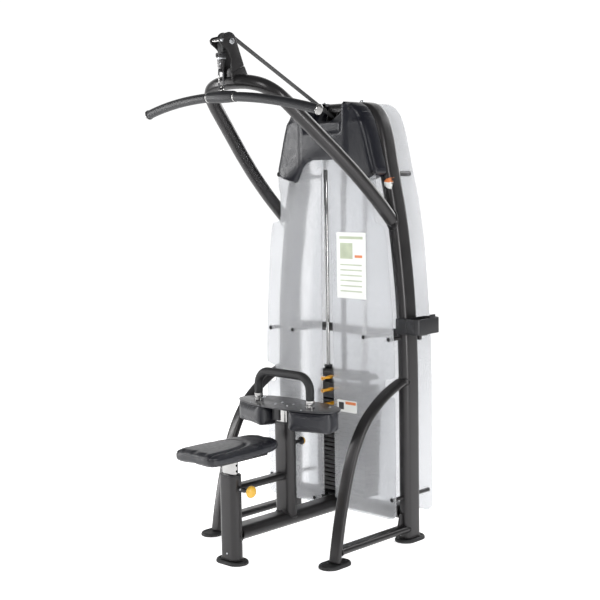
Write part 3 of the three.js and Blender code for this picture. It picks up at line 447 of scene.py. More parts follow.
def arc_points(cx, cy, radius, start, end, steps=10):
    return [(cx + radius * math.cos(math.radians(start + (end - start) * i / steps)),
             cy + radius * math.sin(math.radians(start + (end - start) * i / steps)))
            for i in range(steps + 1)]


def rounded_rectangle(x0, y0, x1, y1, r, steps=8):
    corners = ((x1 - r, y0 + r), (x1 - r, y1 - r), (x0 + r, y1 - r), (x0 + r, y0 + r))
    return [p for i, (cx, cy) in enumerate(corners)
            for p in arc_points(cx, cy, r, 90 * i - 90, 90 * i, steps)]


def both_sides(half):
    """Closed outline from its right half, listed from bottom to top."""
    return list(half) + [(-x, y) for x, y in reversed(half)]


def fillet(points, radius, steps=6):
    """Rounds every corner of a closed outline."""
    out = []
    count = len(points)
    for i in range(count):
        p = Vector(points[i])
        a, b = Vector(points[i - 1]) - p, Vector(points[(i + 1) % count]) - p
        if a.length < 1e-9 or b.length < 1e-9:
            continue
        cut = min(radius, a.length * 0.45, b.length * 0.45)
        if a.angle(b) > math.radians(172):
            out.append(tuple(p))
            continue
        start, end = p + a.normalized() * cut, p + b.normalized() * cut
        for k in range(steps + 1):
            t = k / steps
            q = (1 - t) ** 2 * start + 2 * t * (1 - t) * p + t * t * end
            out.append((q.x, q.y))
    return out


def hex_bolt(name, origin, axis, radius):
    """Hexagon head on a washer."""
    axis = axis.normalized()
    seat = radius * 0.26
    washer = lathe(name + "_w", [(0, 0), (radius * 1.45, 0), (radius * 1.5, radius * 0.06),
                                 (radius * 1.5, radius * 0.2), (radius * 1.42, seat), (0, seat)],
                   origin, axis, STEEL, 28)
    head = lathe(name, [(0, seat), (radius, seat), (radius, seat + radius * 0.66),
                        (radius * 0.88, seat + radius * 0.8), (0, seat + radius * 0.8)],
                 origin, axis, STEEL, 6, sharp=20)
    bevelled(head, radius * 0.05, 2)
    return joined(name, [washer, head])


def cap_screw(name, origin, axis, radius, mat=STEEL):
    """Button head with a round drive recess."""
    profile = [(0, 0.25), (0.36, 0.25), (0.38, 0.66), (0.42, 0.7)]
    profile += [(math.sin(math.radians(a)) * 0.98, 0.12 + 0.6 * math.cos(math.radians(a)))
                for a in (40, 55, 68, 80)]
    profile += [(1, 0.1), (1.02, 0), (0, 0)]
    scaled = [(radius * across, radius * along) for across, along in profile]
    return lathe(name, scaled, origin, axis.normalized(), mat, 24)


def cover_nodes(obj, body, nodes):
    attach(obj, body)
    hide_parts(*nodes)


# ---------- frame tubes ----------
MAIN_FLAT, MAIN_ROUND = 22.5, 30.0        # half the main tube's flat part, and its rounding
MAIN = mm(flat_oval(105, 60))
SMALL = mm(flat_oval(60, 30))
ARCH_HALF = [
    (372, 16.3), (372, 120), (372, 250), (372, 380), (372, 500), (371, 740), (367, 920),
    (357, 1098), (349, 1187), (339, 1275), (328, 1364), (315, 1452), (300, 1540), (281, 1630),
    (264, 1717), (247, 1805), (229, 1868), (203, 1917), (172, 1943), (140, 1950), (90, 1950),
]
LEG = [
    (-507, 16.3), (-493, 95), (-470, 200), (-446, 290), (-420, 375), (-391, 450), (-350, 525),
    (-300, 590), (-240, 641), (-175, 682), (-110, 712), (-56, 731.5),
]
ARM_HALF = [
    (329, -56), (329, -101), (328, -148), (324, -196), (318, -242), (310, -289), (299, -333),
    (286, -382), (271, -429), (257, -473), (243, -516), (230, -557), (216, -598), (195, -636),
    (158, -665), (104, -682), (45, -689),
]
ARM_SLOPE, ARM_JOIN_Z = 0.943, 1400


def half_width(z):
    return float(np.interp(z, [p[1] for p in ARCH_HALF[:18]], [p[0] for p in ARCH_HALF[:18]]))


def weld(name, points, side=Z, radius=3.2):
    """Weld bead: a rippled cord of metal laid along a joint, its radius in millimetres."""
    path = spline(points, 0.0016)
    ripple = [1.0 + 0.16 * math.sin(i * 1.5) for i in range(len(path))]
    return sweep(name, circle(radius * MM, 8), path, side, PAINT, scale=ripple, sharp=80)


def ring_weld(name, points, side=Z, radius=3.2):
    return weld(name, points + points[:1], side, radius)


def round_height(over):
    """Height of the main tube's rounded side at a distance past its flat part."""
    return math.sqrt(max(MAIN_ROUND ** 2 - over ** 2, 0.0))


def oval_top(x):
    """Height of the main tube's surface at a distance x from its centre line."""
    return round_height(max(0.0, abs(x) - MAIN_FLAT))


def arch_piece():
    right = [at(x, 0, z) for x, z in ARCH_HALF]
    left = [at(-x, 0, z) for x, z in reversed(ARCH_HALF)]
    path = spline(right + left, 0.012)
    parts = [sweep("arch", mm(flat_oval(105, 60, 20)), path, Y, PAINT)]
    post_start = 48                       # just inside the tube's rounded front and rear
    front_reach = (COLUMN_Y - post_start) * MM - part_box("front_shroud")[1].y
    rear_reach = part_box("rear_shroud")[0].y - (COLUMN_Y + post_start) * MM
    lug = [(-88, 1825), (-25, 1825), (-15, 1835), (20, 1925), (20, 1934), (-75, 1934), (-88, 1880)]
    lug = mm([(COLUMN_Y + y, z) for y, z in fillet(lug, 10)])
    for side in (-1, 1):
        for z in (205, 930):
            x = side * half_width(z)
            parts.append(standoff(f"front_post_{side}_{z}", at(x, -post_start, z), -Y, front_reach))
            parts.append(standoff(f"rear_post_{side}_{z}", at(x, post_start, z), Y, rear_reach))
        x = side * half_width(1656)
        parts.append(standoff(f"rear_post_{side}_top", at(x, post_start, 1656), Y, rear_reach, 12.0))
        parts.append(cheek(f"pulley_lug_{side}", lug, side, 0.0012))
    for side in (-1, 1):
        parts.append(hex_bolt(f"rod_bolt_{side}", at(side * ROD_X, 0, BEAM_Z + 30), Z, 0.0095))
        points = [at(side * COLUMN_X + u, v, 18.5) for u, v in flat_oval(62, 107, 16)]
        parts.append(ring_weld(f"foot_bead_{side}", points, radius=2.2))
    return joined("arch_tube", parts)


def cheek(name, outline, side, bevel):
    """One of the two 6 mm plates, 50 mm apart, that hold a pulley between them."""
    start = 25 if side > 0 else -31
    return slab(name, outline, Y, Z, Vector((start * MM, 0, 0)), 0.006, PAINT, bevel)


def standoff(name, origin, axis, length, radius=9.0):
    """Round post with a chamfered end that holds a sheet off the frame."""
    reach = length / MM
    profile = [(0, 0), (radius, 0), (radius, reach - 1.5), (radius - 1, reach), (0, reach)]
    return lathe(name, mm(profile), origin, axis, PAINT, 24)


def straight(name, section, start, end, side):
    return sweep(name, section, [start, start.lerp(end, 0.5), end], side, PAINT)


def leg_piece(name, side):
    path = spline([at(side * COLUMN_X, y, z) for y, z in LEG], 0.010)
    tube = sweep(name + "_tube", SMALL, path, X, PAINT)
    points = [at(side * COLUMN_X + u, -oval_front(u), 731 + v * 1.06)
              for u, v in flat_oval(62, 33, 12)]
    return joined(name + "_piece", [tube, ring_weld(name + "_bead", points, Y)])


def oval_front(x):
    """Depth of the column's front face at a distance x from its centre line."""
    return MAIN_FLAT + round_height(min(abs(x), 29.5))


def lower_brace_piece(name, side):
    x, z = side * COLUMN_X, 59
    tube = straight(name + "_tube", SMALL, at(x, -490, z), at(x, -30, z), X)
    gusset = slab(name + "_gusset", mm([(-88, 68), (-50, 68), (-50, 132), (-70, 132)]), Y, Z,
                  Vector((x - 4, COLUMN_Y, 0)) * MM, 0.008, PAINT, 0.001)
    beads = []
    for end in ("front", "rear"):
        points = []
        for u, v in flat_oval(62, 32, 12):
            depth = -488 - 0.22 * v if end == "front" else -oval_front(u)
            points.append(at(x + u, depth, z + v))
        beads.append(ring_weld(f"{name}_{end}_bead", points, Y, 2.8))
    return joined(name + "_piece", [tube, gusset, *beads])


def base_piece():
    front = Vector((0, SEAT_Y + 26, BASE_Z)) * MM
    parts = [straight("base_tube", MAIN, front, at(0, -24, BASE_Z), X)]
    for name, y, inward in (("front", SEAT_Y + 30.5, 1), ("rear", COLUMN_Y - 30, -1)):
        points = []
        for u, v in flat_oval(107, 62, 16):
            curve = MAIN_ROUND - (oval_top(u) if inward > 0 else round_height(v * 0.96))
            points.append(Vector((u, y - inward * curve * 0.9, BASE_Z + v)) * MM)
        parts.append(ring_weld(f"base_bead_{name}", points, Y))
    return joined("base_beam_piece", parts)


def seat_tube_piece():
    y = SEAT_Y * MM
    path = [Vector((0, y, z)) for z in (0.0163, 0.2, 0.3815)]
    tube = sweep("seat_column", mm(flat_oval(105, 60, 18)), path, X, PAINT)
    collar = boss("seat_boss", Vector((0.0515, y, SEAT_PIN_Z)), X)
    points = [Vector((u, SEAT_Y + v, 19)) * MM for u, v in flat_oval(107, 62, 16)]
    bead = ring_weld("seat_foot_bead", points, radius=2.2)
    bolt = cap_screw("seat_foot_screw", Vector((0, y - 0.030, 0.045)), -Y, 0.005)
    return joined("seat_column_piece", [tube, collar, bead, bolt])


def boss(name, origin, axis):
    """Threaded bush, welded on, that carries a spring pin."""
    bush = lathe(name, mm([(8.3, -1), (11, -1), (11, 8), (10, 9), (8.3, 9), (8.3, -1)]), origin,
                 axis, PAINT, 28)
    u = axis.orthogonal().normalized()
    v = axis.cross(u)
    points = []
    for i in range(25):
        angle = 2 * math.pi * i / 24
        points.append(origin + (math.cos(angle) * u + math.sin(angle) * v) * 0.0118 + axis * 0.0015)
    return joined(name, [bush, weld(name + "_bead", points, axis, 2.0)])


def upright_piece():
    y, bottom = UPRIGHT_Y * MM, BASE_Z + 31
    outer = mm(flat_oval(105, 60, 18))
    path = [Vector((0, y, z)) for z in (bottom * MM, 0.3, 0.5565)]
    tube = sweep("upright_column", outer, path, X, PAINT)
    points = [Vector((u, UPRIGHT_Y + v, BASE_Z + max(oval_top(u), 9.0) + 1.5)) * MM
              for u, v in flat_oval(108, 63, 16)]
    bead = ring_weld("upright_bead", points)
    bush = boss("upright_boss", Vector((0, y + 0.0295, 0.474)), Y)
    skirt = sweep("upright_skirt", outer, [Vector((0, y, (BASE_Z + 16) * MM)),
                                           Vector((0, y, (bottom + 1) * MM))], X, PAINT)
    return joined("upright_piece", [tube, bead, bush, skirt])


def mid_brace_piece():
    z = middle("mid_brace").z
    front, rear = (SEAT_Y + 30.3) * MM, (UPRIGHT_Y - 30.3) * MM
    parts = [straight("mid_brace_tube", SMALL, Vector((0, front, z)), Vector((0, rear, z)), X)]
    for name, y in (("front", front), ("rear", rear)):
        points = [Vector((u, y, z + v)) for u, v in mm(flat_oval(63, 33, 12))]
        parts.append(ring_weld(f"mid_bead_{name}", points, Y, 3.0))
    return joined("mid_brace_piece", parts)


def cross_member_piece():
    half, column_x = 343, 372
    parts = [straight("cross_tube", MAIN, at(-half, 0, BASE_Z), at(half, 0, BASE_Z), Y)]
    sheet_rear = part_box("front_shroud")[1].y
    for side in (-1, 1):
        start = at(side * 96, -30, 140)
        parts.append(standoff(f"lower_post_{side}", start, -Y, start.y - sheet_rear - 0.0003))
        points = []
        for u, v in flat_oval(107, 62, 16):
            over = min(max(abs(u) - MAIN_FLAT, 0.0), 29.0)
            x = column_x - round_height(over) - 1
            points.append(at(side * x, u, BASE_Z + v))
        parts.append(ring_weld(f"cross_bead_{side}", points, X))
    return joined("cross_member_piece", parts)


def rear_bar_piece():
    low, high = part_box("rear_cross_bar")
    thick, inner_x, z = 20, 0.221, 0.930
    front = high.y / MM - thick
    outline = mm(rounded_rectangle(front, 910, front + thick, 950, 5))
    parts = [slab("rear_bar", outline, Y, Z, Vector((low.x, 0, 0)), high.x - low.x, PAINT, 0.001)]
    post_y = front * MM + 0.004
    reach = (post_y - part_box("front_shroud")[1].y) / MM - 0.4
    for side in (-1, 1):
        parts.append(lathe(f"inner_post_{side}", mm([(0, 0), (8, 0), (8, reach), (0, reach)]),
                           Vector((side * inner_x, post_y, z)), -Y, PAINT, 24))
        parts.append(lathe(f"bar_spacer_{side}", mm([(9.6, 0), (18, 0), (18, 6), (9.6, 6), (9.6, 0)]),
                           at(side * half_width(930), 52.8, 930), Y, PAINT, 32))
        parts.append(hex_bolt(f"rear_bar_bolt_{side}", Vector((side * inner_x, high.y, z)), Y,
                              0.0065))
    return joined("rear_bar_piece", parts)


def arm_point(x, y):
    return at(x, y, ARM_JOIN_Z - ARM_SLOPE * y)


def arm_path(step=0.010):
    right = [arm_point(x, y) for x, y in ARM_HALF]
    left = [arm_point(-x, y) for x, y in reversed(ARM_HALF)]
    return spline(right + left, step)


def arm_piece():
    normal = Vector((0, ARM_SLOPE, 1)).normalized()
    parts = [sweep("arm_tube", circle(0.030, 48), arm_path(), normal, PAINT)]
    for side in (-1, 1):
        points = []
        for i in range(33):
            angle = 2 * math.pi * i / 32
            u, v = 31.5 * math.cos(angle), 31.5 * math.sin(angle) * 1.38
            points.append(at(side * (329 + u * 0.98), -53.5 + 0.02 * v, 1453 + v))
        parts.append(weld(f"arm_bead_{side}", points, Y, 3.6))
    return joined("arm_piece", parts)


HEAD_UPPER = [(-653, 2117.7), (-697, 2226), (-708, 2235), (-752, 2236), (-780, 2229), (-791, 2216),
              (-786, 2203), (-757, 2186), (-740, 2170), (-729, 2146), (-723, 2086.5)]
HEAD_LOWER = [(-632, 2054), (-632, 2080), (-651, 2117.4), (-723, 2086.2), (-721, 2054)]
HEAD_BLOCK = [(-712, 2066), (-712, 2108), (-642, 2108), (-640, 2066)]
HEAD_TIP = (-779, 2216)


def head_outline(points, radius):
    return mm([(COLUMN_Y + y, z) for y, z in fillet(points, radius)])


def head_piece():
    parts = []
    for side in (-1, 1):
        for name, points in (("upper", HEAD_UPPER), ("lower", HEAD_LOWER)):
            parts.append(cheek(f"head_{name}_{side}", head_outline(points, 6), side, 0.0014))
        parts.append(cap_screw(f"tip_screw_{side}", at(side * 31, *HEAD_TIP), side * X, 0.0085))
    parts.append(slab("head_block", head_outline(HEAD_BLOCK, 4), Y, Z, Vector((-0.025, 0, 0)), 0.05,
                      PAINT, 0.001))
    parts.append(lathe("head_spacer", mm([(0, -25), (6, -25), (6, 25), (0, 25)]), at(0, *HEAD_TIP),
                       X, CHROME, 24))
    seam = [Vector((u, COLUMN_Y * MM - 0.676 + v, 2.0735 - abs(v) * 0.35 - u * u * 2.0))
            for u, v in mm(rounded_rectangle(-33, -44, 33, 42, 8, 4))]
    seam.append(at(-25, -720, 2056))
    parts.append(weld("head_saddle_bead", seam, radius=2.8))
    return joined("pulley_head_piece", parts)


PAINTED = (
    (arch_piece, "column_arch"), (base_piece, "base_beam"), (seat_tube_piece, "seat_tube"),
    (upright_piece, "pad_upright"), (mid_brace_piece, "mid_brace"),
    (cross_member_piece, "stack_cross_member"), (rear_bar_piece, "rear_cross_bar"),
    (arm_piece, "overhead_arm"), (head_piece, "pulley_head"),
)
for make, node in PAINTED:
    cover_nodes(make(), "root", [node])
for label, sign in (("left", -1), ("right", 1)):
    cover_nodes(leg_piece(label + "_leg", sign), "root", [label + "_leg"])
    cover_nodes(lower_brace_piece(label + "_brace", sign), "root", [label + "_lower_brace"])


# ---------- rubber feet ----------
FOOT_RINGS = [(0, 156, 96), (1.2, 159.4, 99.4), (7, 159.6, 99.6), (10, 158, 98), (13.4, 154, 94),
              (15.6, 148, 88), (15.9, 141, 81), (14.6, 134, 74), (12.4, 128, 68), (11.6, 120, 62)]


def foot_piece(node):
    """Moulded rubber foot: a flat oval cup with a raised lip round the tube."""
    low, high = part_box(node)
    centre = middle(node)
    along_y = high.y - low.y > high.x - low.x
    vertices, faces = [], []
    for z, long, short in FOOT_RINGS:
        size = (short, long) if along_y else (long, short)
        ring = mm(flat_oval(*size, 22))
        vertices += [Vector((centre.x + u, centre.y + v, z * MM)) for u, v in ring]
    count, last = len(ring), len(vertices) - len(ring)
    for i in range(0, last, count):
        for k in range(count):
            m = (k + 1) % count
            faces.append((i + k, i + m, i + count + m, i + count + k))
    faces.append(tuple(range(count)))
    faces.append(tuple(range(last, last + count)))
    return mesh_object(node + "_piece", vertices, faces, RUBBER, sharp=50)


for node in ("seat_foot", "left_leg_foot", "right_leg_foot", "left_column_foot",
             "right_column_foot"):
    cover_nodes(foot_piece(node), "root", [node])


# ---------- pulleys, axles and belt ----------
FRONT_WHEEL = middle("front_pulley")
REAR_WHEEL = middle("rear_pulley")


BEARING = [(8.4, 14), (15, 14), (15, 20.2), (13, 20.6), (12.6, 19.8), (9.4, 19.8), (9.2, 20.6),
           (8.4, 20.4), (8.4, 14)]


def wheel_piece(name, centre, belt, flange):
    """Flanged pulley: 'belt' is the radius of its tread and 'flange' of its rims."""
    half = [(9, 20), (16, 20), (17, 18.5), (24, 17), (flange - 6, 17), (flange - 2.5, 20),
            (flange - 0.3, 19.4), (flange - 0.1, 18), (flange - 0.8, 16.4), (belt + 1.2, 15.9),
            (belt, 15)]
    profile = [(r, -along) for r, along in half] + half[::-1] + [(9, -20)]
    parts = [lathe(name, mm(profile), centre, X, PLASTIC, 72, sharp=30)]
    for side in (-1, 1):
        parts.append(lathe(f"{name}_bearing_{side}", mm(BEARING), centre, X * side, STEEL, 36,
                           sharp=30))
    return joined(name, parts)


def axle_piece(name, centre):
    shaft = lathe(name + "_shaft", mm([(0, -33), (7.8, -33), (7.8, 33), (0, 33)]), centre, X,
                  STEEL, 28)
    heads = [hex_bolt(f"{name}_head_{s}", centre + X * (0.0313 * s), X * s, 0.0085)
             for s in (-1, 1)]
    return joined(name, [shaft, *heads])


cover_nodes(wheel_piece("front_wheel", FRONT_WHEEL, 33, 39), "front_pulley", ["front_pulley"])
cover_nodes(wheel_piece("rear_wheel", REAR_WHEEL, 43, 49), "rear_pulley", ["rear_pulley"])
cover_nodes(axle_piece("front_axle_bolt", FRONT_WHEEL), "root", ["front_axle"])
cover_nodes(axle_piece("rear_axle_bolt", REAR_WHEEL), "root", ["rear_axle"])

BELT_HALF, BELT_T = 0.0149, 0.0018        # half the belt's width, and half its thickness
FRONT_R, REAR_R = 0.0354, 0.0454          # the belt's middle line round each pulley


def belt_section():
    return rounded_rectangle(-BELT_HALF, -BELT_T, BELT_HALF, BELT_T, 0.0012, 3)


def belt_run_piece():
    """Belt from the front drop over both pulleys to the rear drop."""
    a, b = FRONT_WHEEL, REAR_WHEEL
    dy, dz = b.y - a.y, b.z - a.z
    lift = math.asin((FRONT_R - REAR_R) / math.hypot(dy, dz))
    tangent = math.atan2(dz, dy) - lift + math.pi / 2

    def on_wheel(centre, radius, angle):
        return Vector((0, centre.y + radius * math.cos(angle), centre.z + radius * math.sin(angle)))

    steps = 12
    points = [on_wheel(a, FRONT_R, math.pi + (tangent - math.pi) * k / steps)
              for k in range(steps + 1)]
    start, end = points[-1], on_wheel(b, REAR_R, tangent)
    points += [start.lerp(end, k / steps) for k in range(1, steps)]
    points += [on_wheel(b, REAR_R, tangent * (1 - k / steps)) for k in range(steps + 1)]
    return sweep("belt_over_pulleys", belt_section(), points, X, BELT)


def belt_strand(name, low, high):
    y = (low.y + high.y) / 2
    steps = 60
    path = [Vector((0, y, low.z + (high.z - low.z) * i / steps)) for i in range(steps + 1)]
    return sweep(name, belt_section(), path, X, BELT)


cover_nodes(belt_run_piece(), "root", ["belt_run"])
low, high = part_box("belt_front")
STRAND = belt_strand("belt_front_strand", low, high)
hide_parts("belt_front")
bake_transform(STRAND)
low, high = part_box("belt_rear")
STRAND = belt_strand("belt_rear_strand", low, high)
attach(STRAND, "root")
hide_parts("belt_rear")
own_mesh(STRAND)


# ---------- clamp, hook and bar ----------
def clamp_piece():
    y, top = middle("belt_clamp").y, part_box("belt_clamp")[1].z
    tail = fillet([(-19, -26.6), (-18, -36), (-12, -79.5), (12, -79.5), (18, -36), (19, -26.6)], 3)
    parts = []
    for name, outline, depth, mat, bevel in (
            ("block", rounded_rectangle(-20, -21, 20, 0, 5), 0.022, PLASTIC, 0.0016),
            ("plate", rounded_rectangle(-20.5, -27, 20.5, -20.6, 2), 0.024, STEEL, 0.0012),
            ("tail", tail, 0.010, PAINT, 0.0012)):
        parts.append(slab("clamp_" + name, mm(outline), X, Z, Vector((0, y + depth / 2, top)), depth,
                          mat, bevel))
    for x in (-0.010, 0.010):
        parts.append(cap_screw(f"clamp_screw_{x}", Vector((x, y - 0.011, top - 0.0105)), -Y, 0.0048,
                               PLASTIC))
    parts.append(cap_screw("clamp_tail_screw", Vector((0, y - 0.005, top - 0.045)), -Y, 0.0050))
    return joined("clamp_piece", parts)


HOOK_REACH = 0.03925                      # from the hook's middle to each end of its wire's path


def hook_piece():
    c = middle("snap_hook")
    half, bend = 0.013, 0.009
    points = []
    for i, (across, up) in enumerate(((1, 1), (-1, 1), (-1, -1), (1, -1))):
        for step in range(0, 91, 15):
            angle = math.radians(90 * i + step)
            points.append(Vector((0, c.y + across * (half - bend) + bend * math.cos(angle),
                                  c.z + up * (HOOK_REACH - bend) + bend * math.sin(angle))))
    wire = sweep("hook_wire", circle(0.0034, 16), points, X, PLATE, closed=True)
    gate_profile = [(0, -17), (3.2, -17), (3.6, -15.5), (3.6, 15.5), (3.2, 17), (0, 17)]
    gate = lathe("hook_gate", mm(gate_profile), Vector((0, c.y - half, c.z)), Z, CHROME, 20)
    pin = lathe("hook_pin", mm([(0, -5), (1.7, -5), (1.7, 5), (0, 5)]),
                Vector((0, c.y - half, c.z + 0.0145)), X, STEEL, 12)
    return joined("hook_piece", [wire, gate, pin])


BAR_TILT = math.radians(1.3)              # the bar hangs slightly out of level
HANG = Vector((1.9 * MM, middle("belt_clamp").y, middle("snap_hook").z - HOOK_REACH + 0.0035))
TURN = Matrix.Translation(HANG) @ Matrix.Rotation(BAR_TILT, 4, "Y")
BAR_DOWN = 1.987 - HANG.z
BAR_HALF, BAR_DROP, BAR_LEAN = 0.518, 0.063, 0.035


def bar_point(x):
    part = (x / BAR_HALF) ** 2
    return TURN @ Vector((x, BAR_LEAN * part, BAR_DOWN - BAR_DROP * part))


def bar_path(x0, x1, count):
    return [bar_point(x0 + (x1 - x0) * i / count) for i in range(count + 1)]


def bar_axis(x, side):
    return (bar_point(x) - bar_point(x - side * 0.004)).normalized()


BAR_CAP = [(0, -4), (21.4, -4), (21.9, -3), (21.9, 1.5), (20.6, 4.2), (17.5, 5.4), (0, 5.9)]
BAR_RING = [(13, -1.8), (20.6, -1.8), (21.2, -1), (21.2, 4), (20.6, 4.8), (13, 4.8), (13, -1.8)]


def bar_piece():
    parts = [sweep("bar_core", circle(0.0129, 32), bar_path(-0.514, 0.514, 60), Z, CHROME)]
    for side in (-1, 1):
        for name, x, profile in (("cap", side * BAR_HALF, BAR_CAP), ("ring", side * 0.080, BAR_RING)):
            parts.append(lathe(f"bar_{name}_{side}", mm(profile), bar_point(x), bar_axis(x, side),
                               CHROME, 48))
    return joined("bar_piece", parts)


def end_rounding(path, values):
    """Section sizes along a path that is thinner at both ends."""
    size = [1.0] * len(path)
    for i, value in enumerate(values):
        size[i] = size[-1 - i] = value
    return size


def grip_piece(name, side):
    path = bar_path(side * 0.085, side * 0.513, 70)
    return sweep(name, circle(0.0197, 40), path, Z, GRIP,
                 scale=end_rounding(path, (0.93, 0.975, 0.99)))


def sleeve_piece():
    """Moulded middle sleeve with the eye that the hook holds."""
    centre = TURN @ Vector((0, 0, BAR_DOWN))
    axis, up = ((TURN.to_3x3() @ way).normalized() for way in (X, Z))
    half = [(13, 77), (20.5, 77), (22.8, 75.5), (23.4, 72), (23.6, 66), (24.4, 50), (25.3, 30)]
    profile = [(r, -along) for r, along in half] + [(25.7, 0)] + half[::-1] + [(13, -77)]
    body = lathe("sleeve_body", mm(profile), centre, axis, GRIP, 56)
    eye_at = TURN @ Vector((0, 0, BAR_DOWN + 0.027))
    ring = [eye_at + (math.cos(a) * axis + math.sin(a) * up) * 0.014
            for a in np.linspace(0, 2 * math.pi, 48, endpoint=False)]
    eye = sweep("sleeve_eye", circle(0.0034, 16), ring, axis.cross(up), CHROME, closed=True)
    foot = lathe("eye_foot", mm([(0, 22), (9, 22), (8, 27.5), (5, 28.5), (0, 28.5)]), centre, up,
                 CHROME, 28)
    return joined("sleeve_piece", [body, eye, foot])


cover_nodes(clamp_piece(), "clamp", ["belt_clamp"])
cover_nodes(hook_piece(), "hook", ["snap_hook"])
cover_nodes(bar_piece(), "bar", ["lat_bar"])
for label, sign in (("left", -1), ("right", 1)):
    cover_nodes(grip_piece(label + "_grip_piece", sign), "bar", [label + "_grip"])
cover_nodes(sleeve_piece(), "bar", ["bar_sleeve"])


# ---------- cutting ----------
def carved(obj, cutters):
    """Cuts shapes out of a solid, then removes the cutting shapes."""
    for cutter in cutters:
        mod = obj.modifiers.new("Cut", "BOOLEAN")
        mod.operation = "DIFFERENCE"
        mod.solver = "EXACT"
        mod.object = cutter
    apply_modifiers(obj)
    for cutter in cutters:
        bpy.data.objects.remove(cutter)
    tidy_mesh(obj, sharp=30)
    return obj


def rod(name, start, end, radius, sides=28, mat=STEEL):
    axis = end - start
    return lathe(name, [(0, 0), (radius, 0), (radius, axis.length), (0, axis.length)], start, axis,
                 mat, sides)


def upright_rod(name, x, y, bottom, top, radius, sides=28, mat=STEEL):
    return rod(name, Vector((x, y, bottom)), Vector((x, y, top)), radius, sides, mat)


def copied(obj, name, offset):
    twin = obj.copy()
    twin.data = obj.data.copy()
    twin.name = name
    twin.data.name = name
    twin.data.transform(Matrix.Translation(offset))
    bpy.context.scene.collection.objects.link(twin)
    return twin


# ---------- guide rods and bumpers ----------
for side in ("left", "right"):
    low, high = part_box(side + "_guide_rod")
    c = middle(side + "_guide_rod")
    tall = high.z - low.z
    shaft = lathe(side + "_rod_piece", [(0, 0), (0.0092, 0), (0.010, 0.0008), (0.010, tall - 0.0008),
                                        (0.0092, tall), (0, tall)],
                  Vector((c.x, c.y, low.z)), Z, CHROME, 48)
    cover_nodes(shaft, "root", [side + "_guide_rod"])
    low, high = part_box(side + "_bumper")
    base = Vector((c.x, c.y, low.z))
    height = (high.z - low.z) / MM
    ring = [(11, 0), (17, 0), (19.5, 1), (20.5, height * 0.3), (19.6, height * 0.5),
            (21, height * 0.72), (20.6, height - 1.2), (19, height), (11, height), (11, 0)]
    bumper = lathe(side + "_bumper_piece", mm(ring), base, Z, RUBBER, 44)
    cover_nodes(bumper, "root", [side + "_bumper"])


# ---------- weight stack ----------
PLATE_LOW, PLATE_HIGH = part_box("lifted_plate")
PLATE_T = PLATE_HIGH.z - PLATE_LOW.z
STACK_LOW, STACK_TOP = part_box("resting_plates")
PLATE_GAP = 0.0003
PITCH = PLATE_T + PLATE_GAP
PLATE_COUNT = round((STACK_TOP.z - STACK_LOW.z) / PITCH)
HALF_X = (PLATE_HIGH.x - PLATE_LOW.x) / 2
HALF_Y = (PLATE_HIGH.y - PLATE_LOW.y) / 2
STEM_R = 0.012


BORE_PAST = 0.01                          # how far a drill goes past the faces it cuts


def plate_piece(name, low_z):
    """Cast plate: bored for the rods and the stem, drilled at the front for the pin."""
    y = COLUMN_Y * MM
    outline = rounded_rectangle(-HALF_X, -HALF_Y, HALF_X, HALF_Y, 0.008, 6)
    plate = slab(name, outline, X, Y, Vector((0, y, low_z)), PLATE_T - 0.0050, CAST, 0.0018, 2)
    bottom, top = low_z - BORE_PAST, low_z + PLATE_T + BORE_PAST
    bores = [upright_rod(f"{name}_bore_{s}", s * ROD_X * MM, y, bottom, top, 0.0122)
             for s in (-1, 1)]
    bores.append(upright_rod(name + "_stem_bore", 0, y, bottom, top, 0.0135))
    pin_bore = mm([(0, 0), (8.4, 0), (8.2, 1.2), (5.8, 3.4), (5.8, 50), (0, 50)])
    bores.append(lathe(name + "_pin_bore", pin_bore,
                       Vector((0, y - HALF_Y - 0.0001, low_z + PLATE_T / 2)), Y, CAST, 28))
    return carved(plate, bores)


first = plate_piece("plate_01", STACK_LOW.z)
plates = [first] + [copied(first, f"plate_{i + 1:02d}", Vector((0, 0, i * PITCH)))
                    for i in range(1, PLATE_COUNT)]
lifted = copied(first, "lifted_plate_piece", Vector((0, 0, PLATE_LOW.z - STACK_LOW.z)))
cover_nodes(joined("resting_plate_set", plates), "root", ["resting_plates"])
cover_nodes(lifted, "stack", ["lifted_plate"])


HEAD_PLATE_T = 39
HEAD_SLEEVE = [(10.6, HEAD_PLATE_T - 1), (17, HEAD_PLATE_T - 1), (17, 60), (17.3, 61), (17.3, 63),
               (17, 64), (17, 136), (17.6, 138), (20, 139), (20, 145.6), (19.2, 146.8),
               (15, 146.8), (14, 145), (10.6, 145), (10.6, HEAD_PLATE_T - 1)]


def head_plate_piece():
    """Moulded block with a sleeve on each guide rod and a lug for the belt's end."""
    y, bottom = COLUMN_Y * MM, PLATE_HIGH.z + PLATE_GAP
    outline = rounded_rectangle(-HALF_X, -HALF_Y, HALF_X, HALF_Y, 0.014, 8)
    parts = [slab("head_block", outline, X, Y, Vector((0, y, bottom)), HEAD_PLATE_T * MM, PLASTIC,
                  0.004, 4)]
    for side in (-1, 1):
        parts.append(lathe(f"head_sleeve_{side}", mm(HEAD_SLEEVE),
                           Vector((side * ROD_X * MM, y, bottom)), Z, PLASTIC, 48))
    parts.append(slab("belt_lug", rounded_rectangle(-0.017, 0, 0.017, 0.065, 0.004), X, Z,
                      Vector((0, y + 0.012, bottom)), 0.024, STEEL, 0.0015))
    parts.append(cap_screw("belt_lug_screw", Vector((0, y - 0.012, bottom + 0.052)), -Y, 0.006))
    return joined("head_plate_piece", parts)


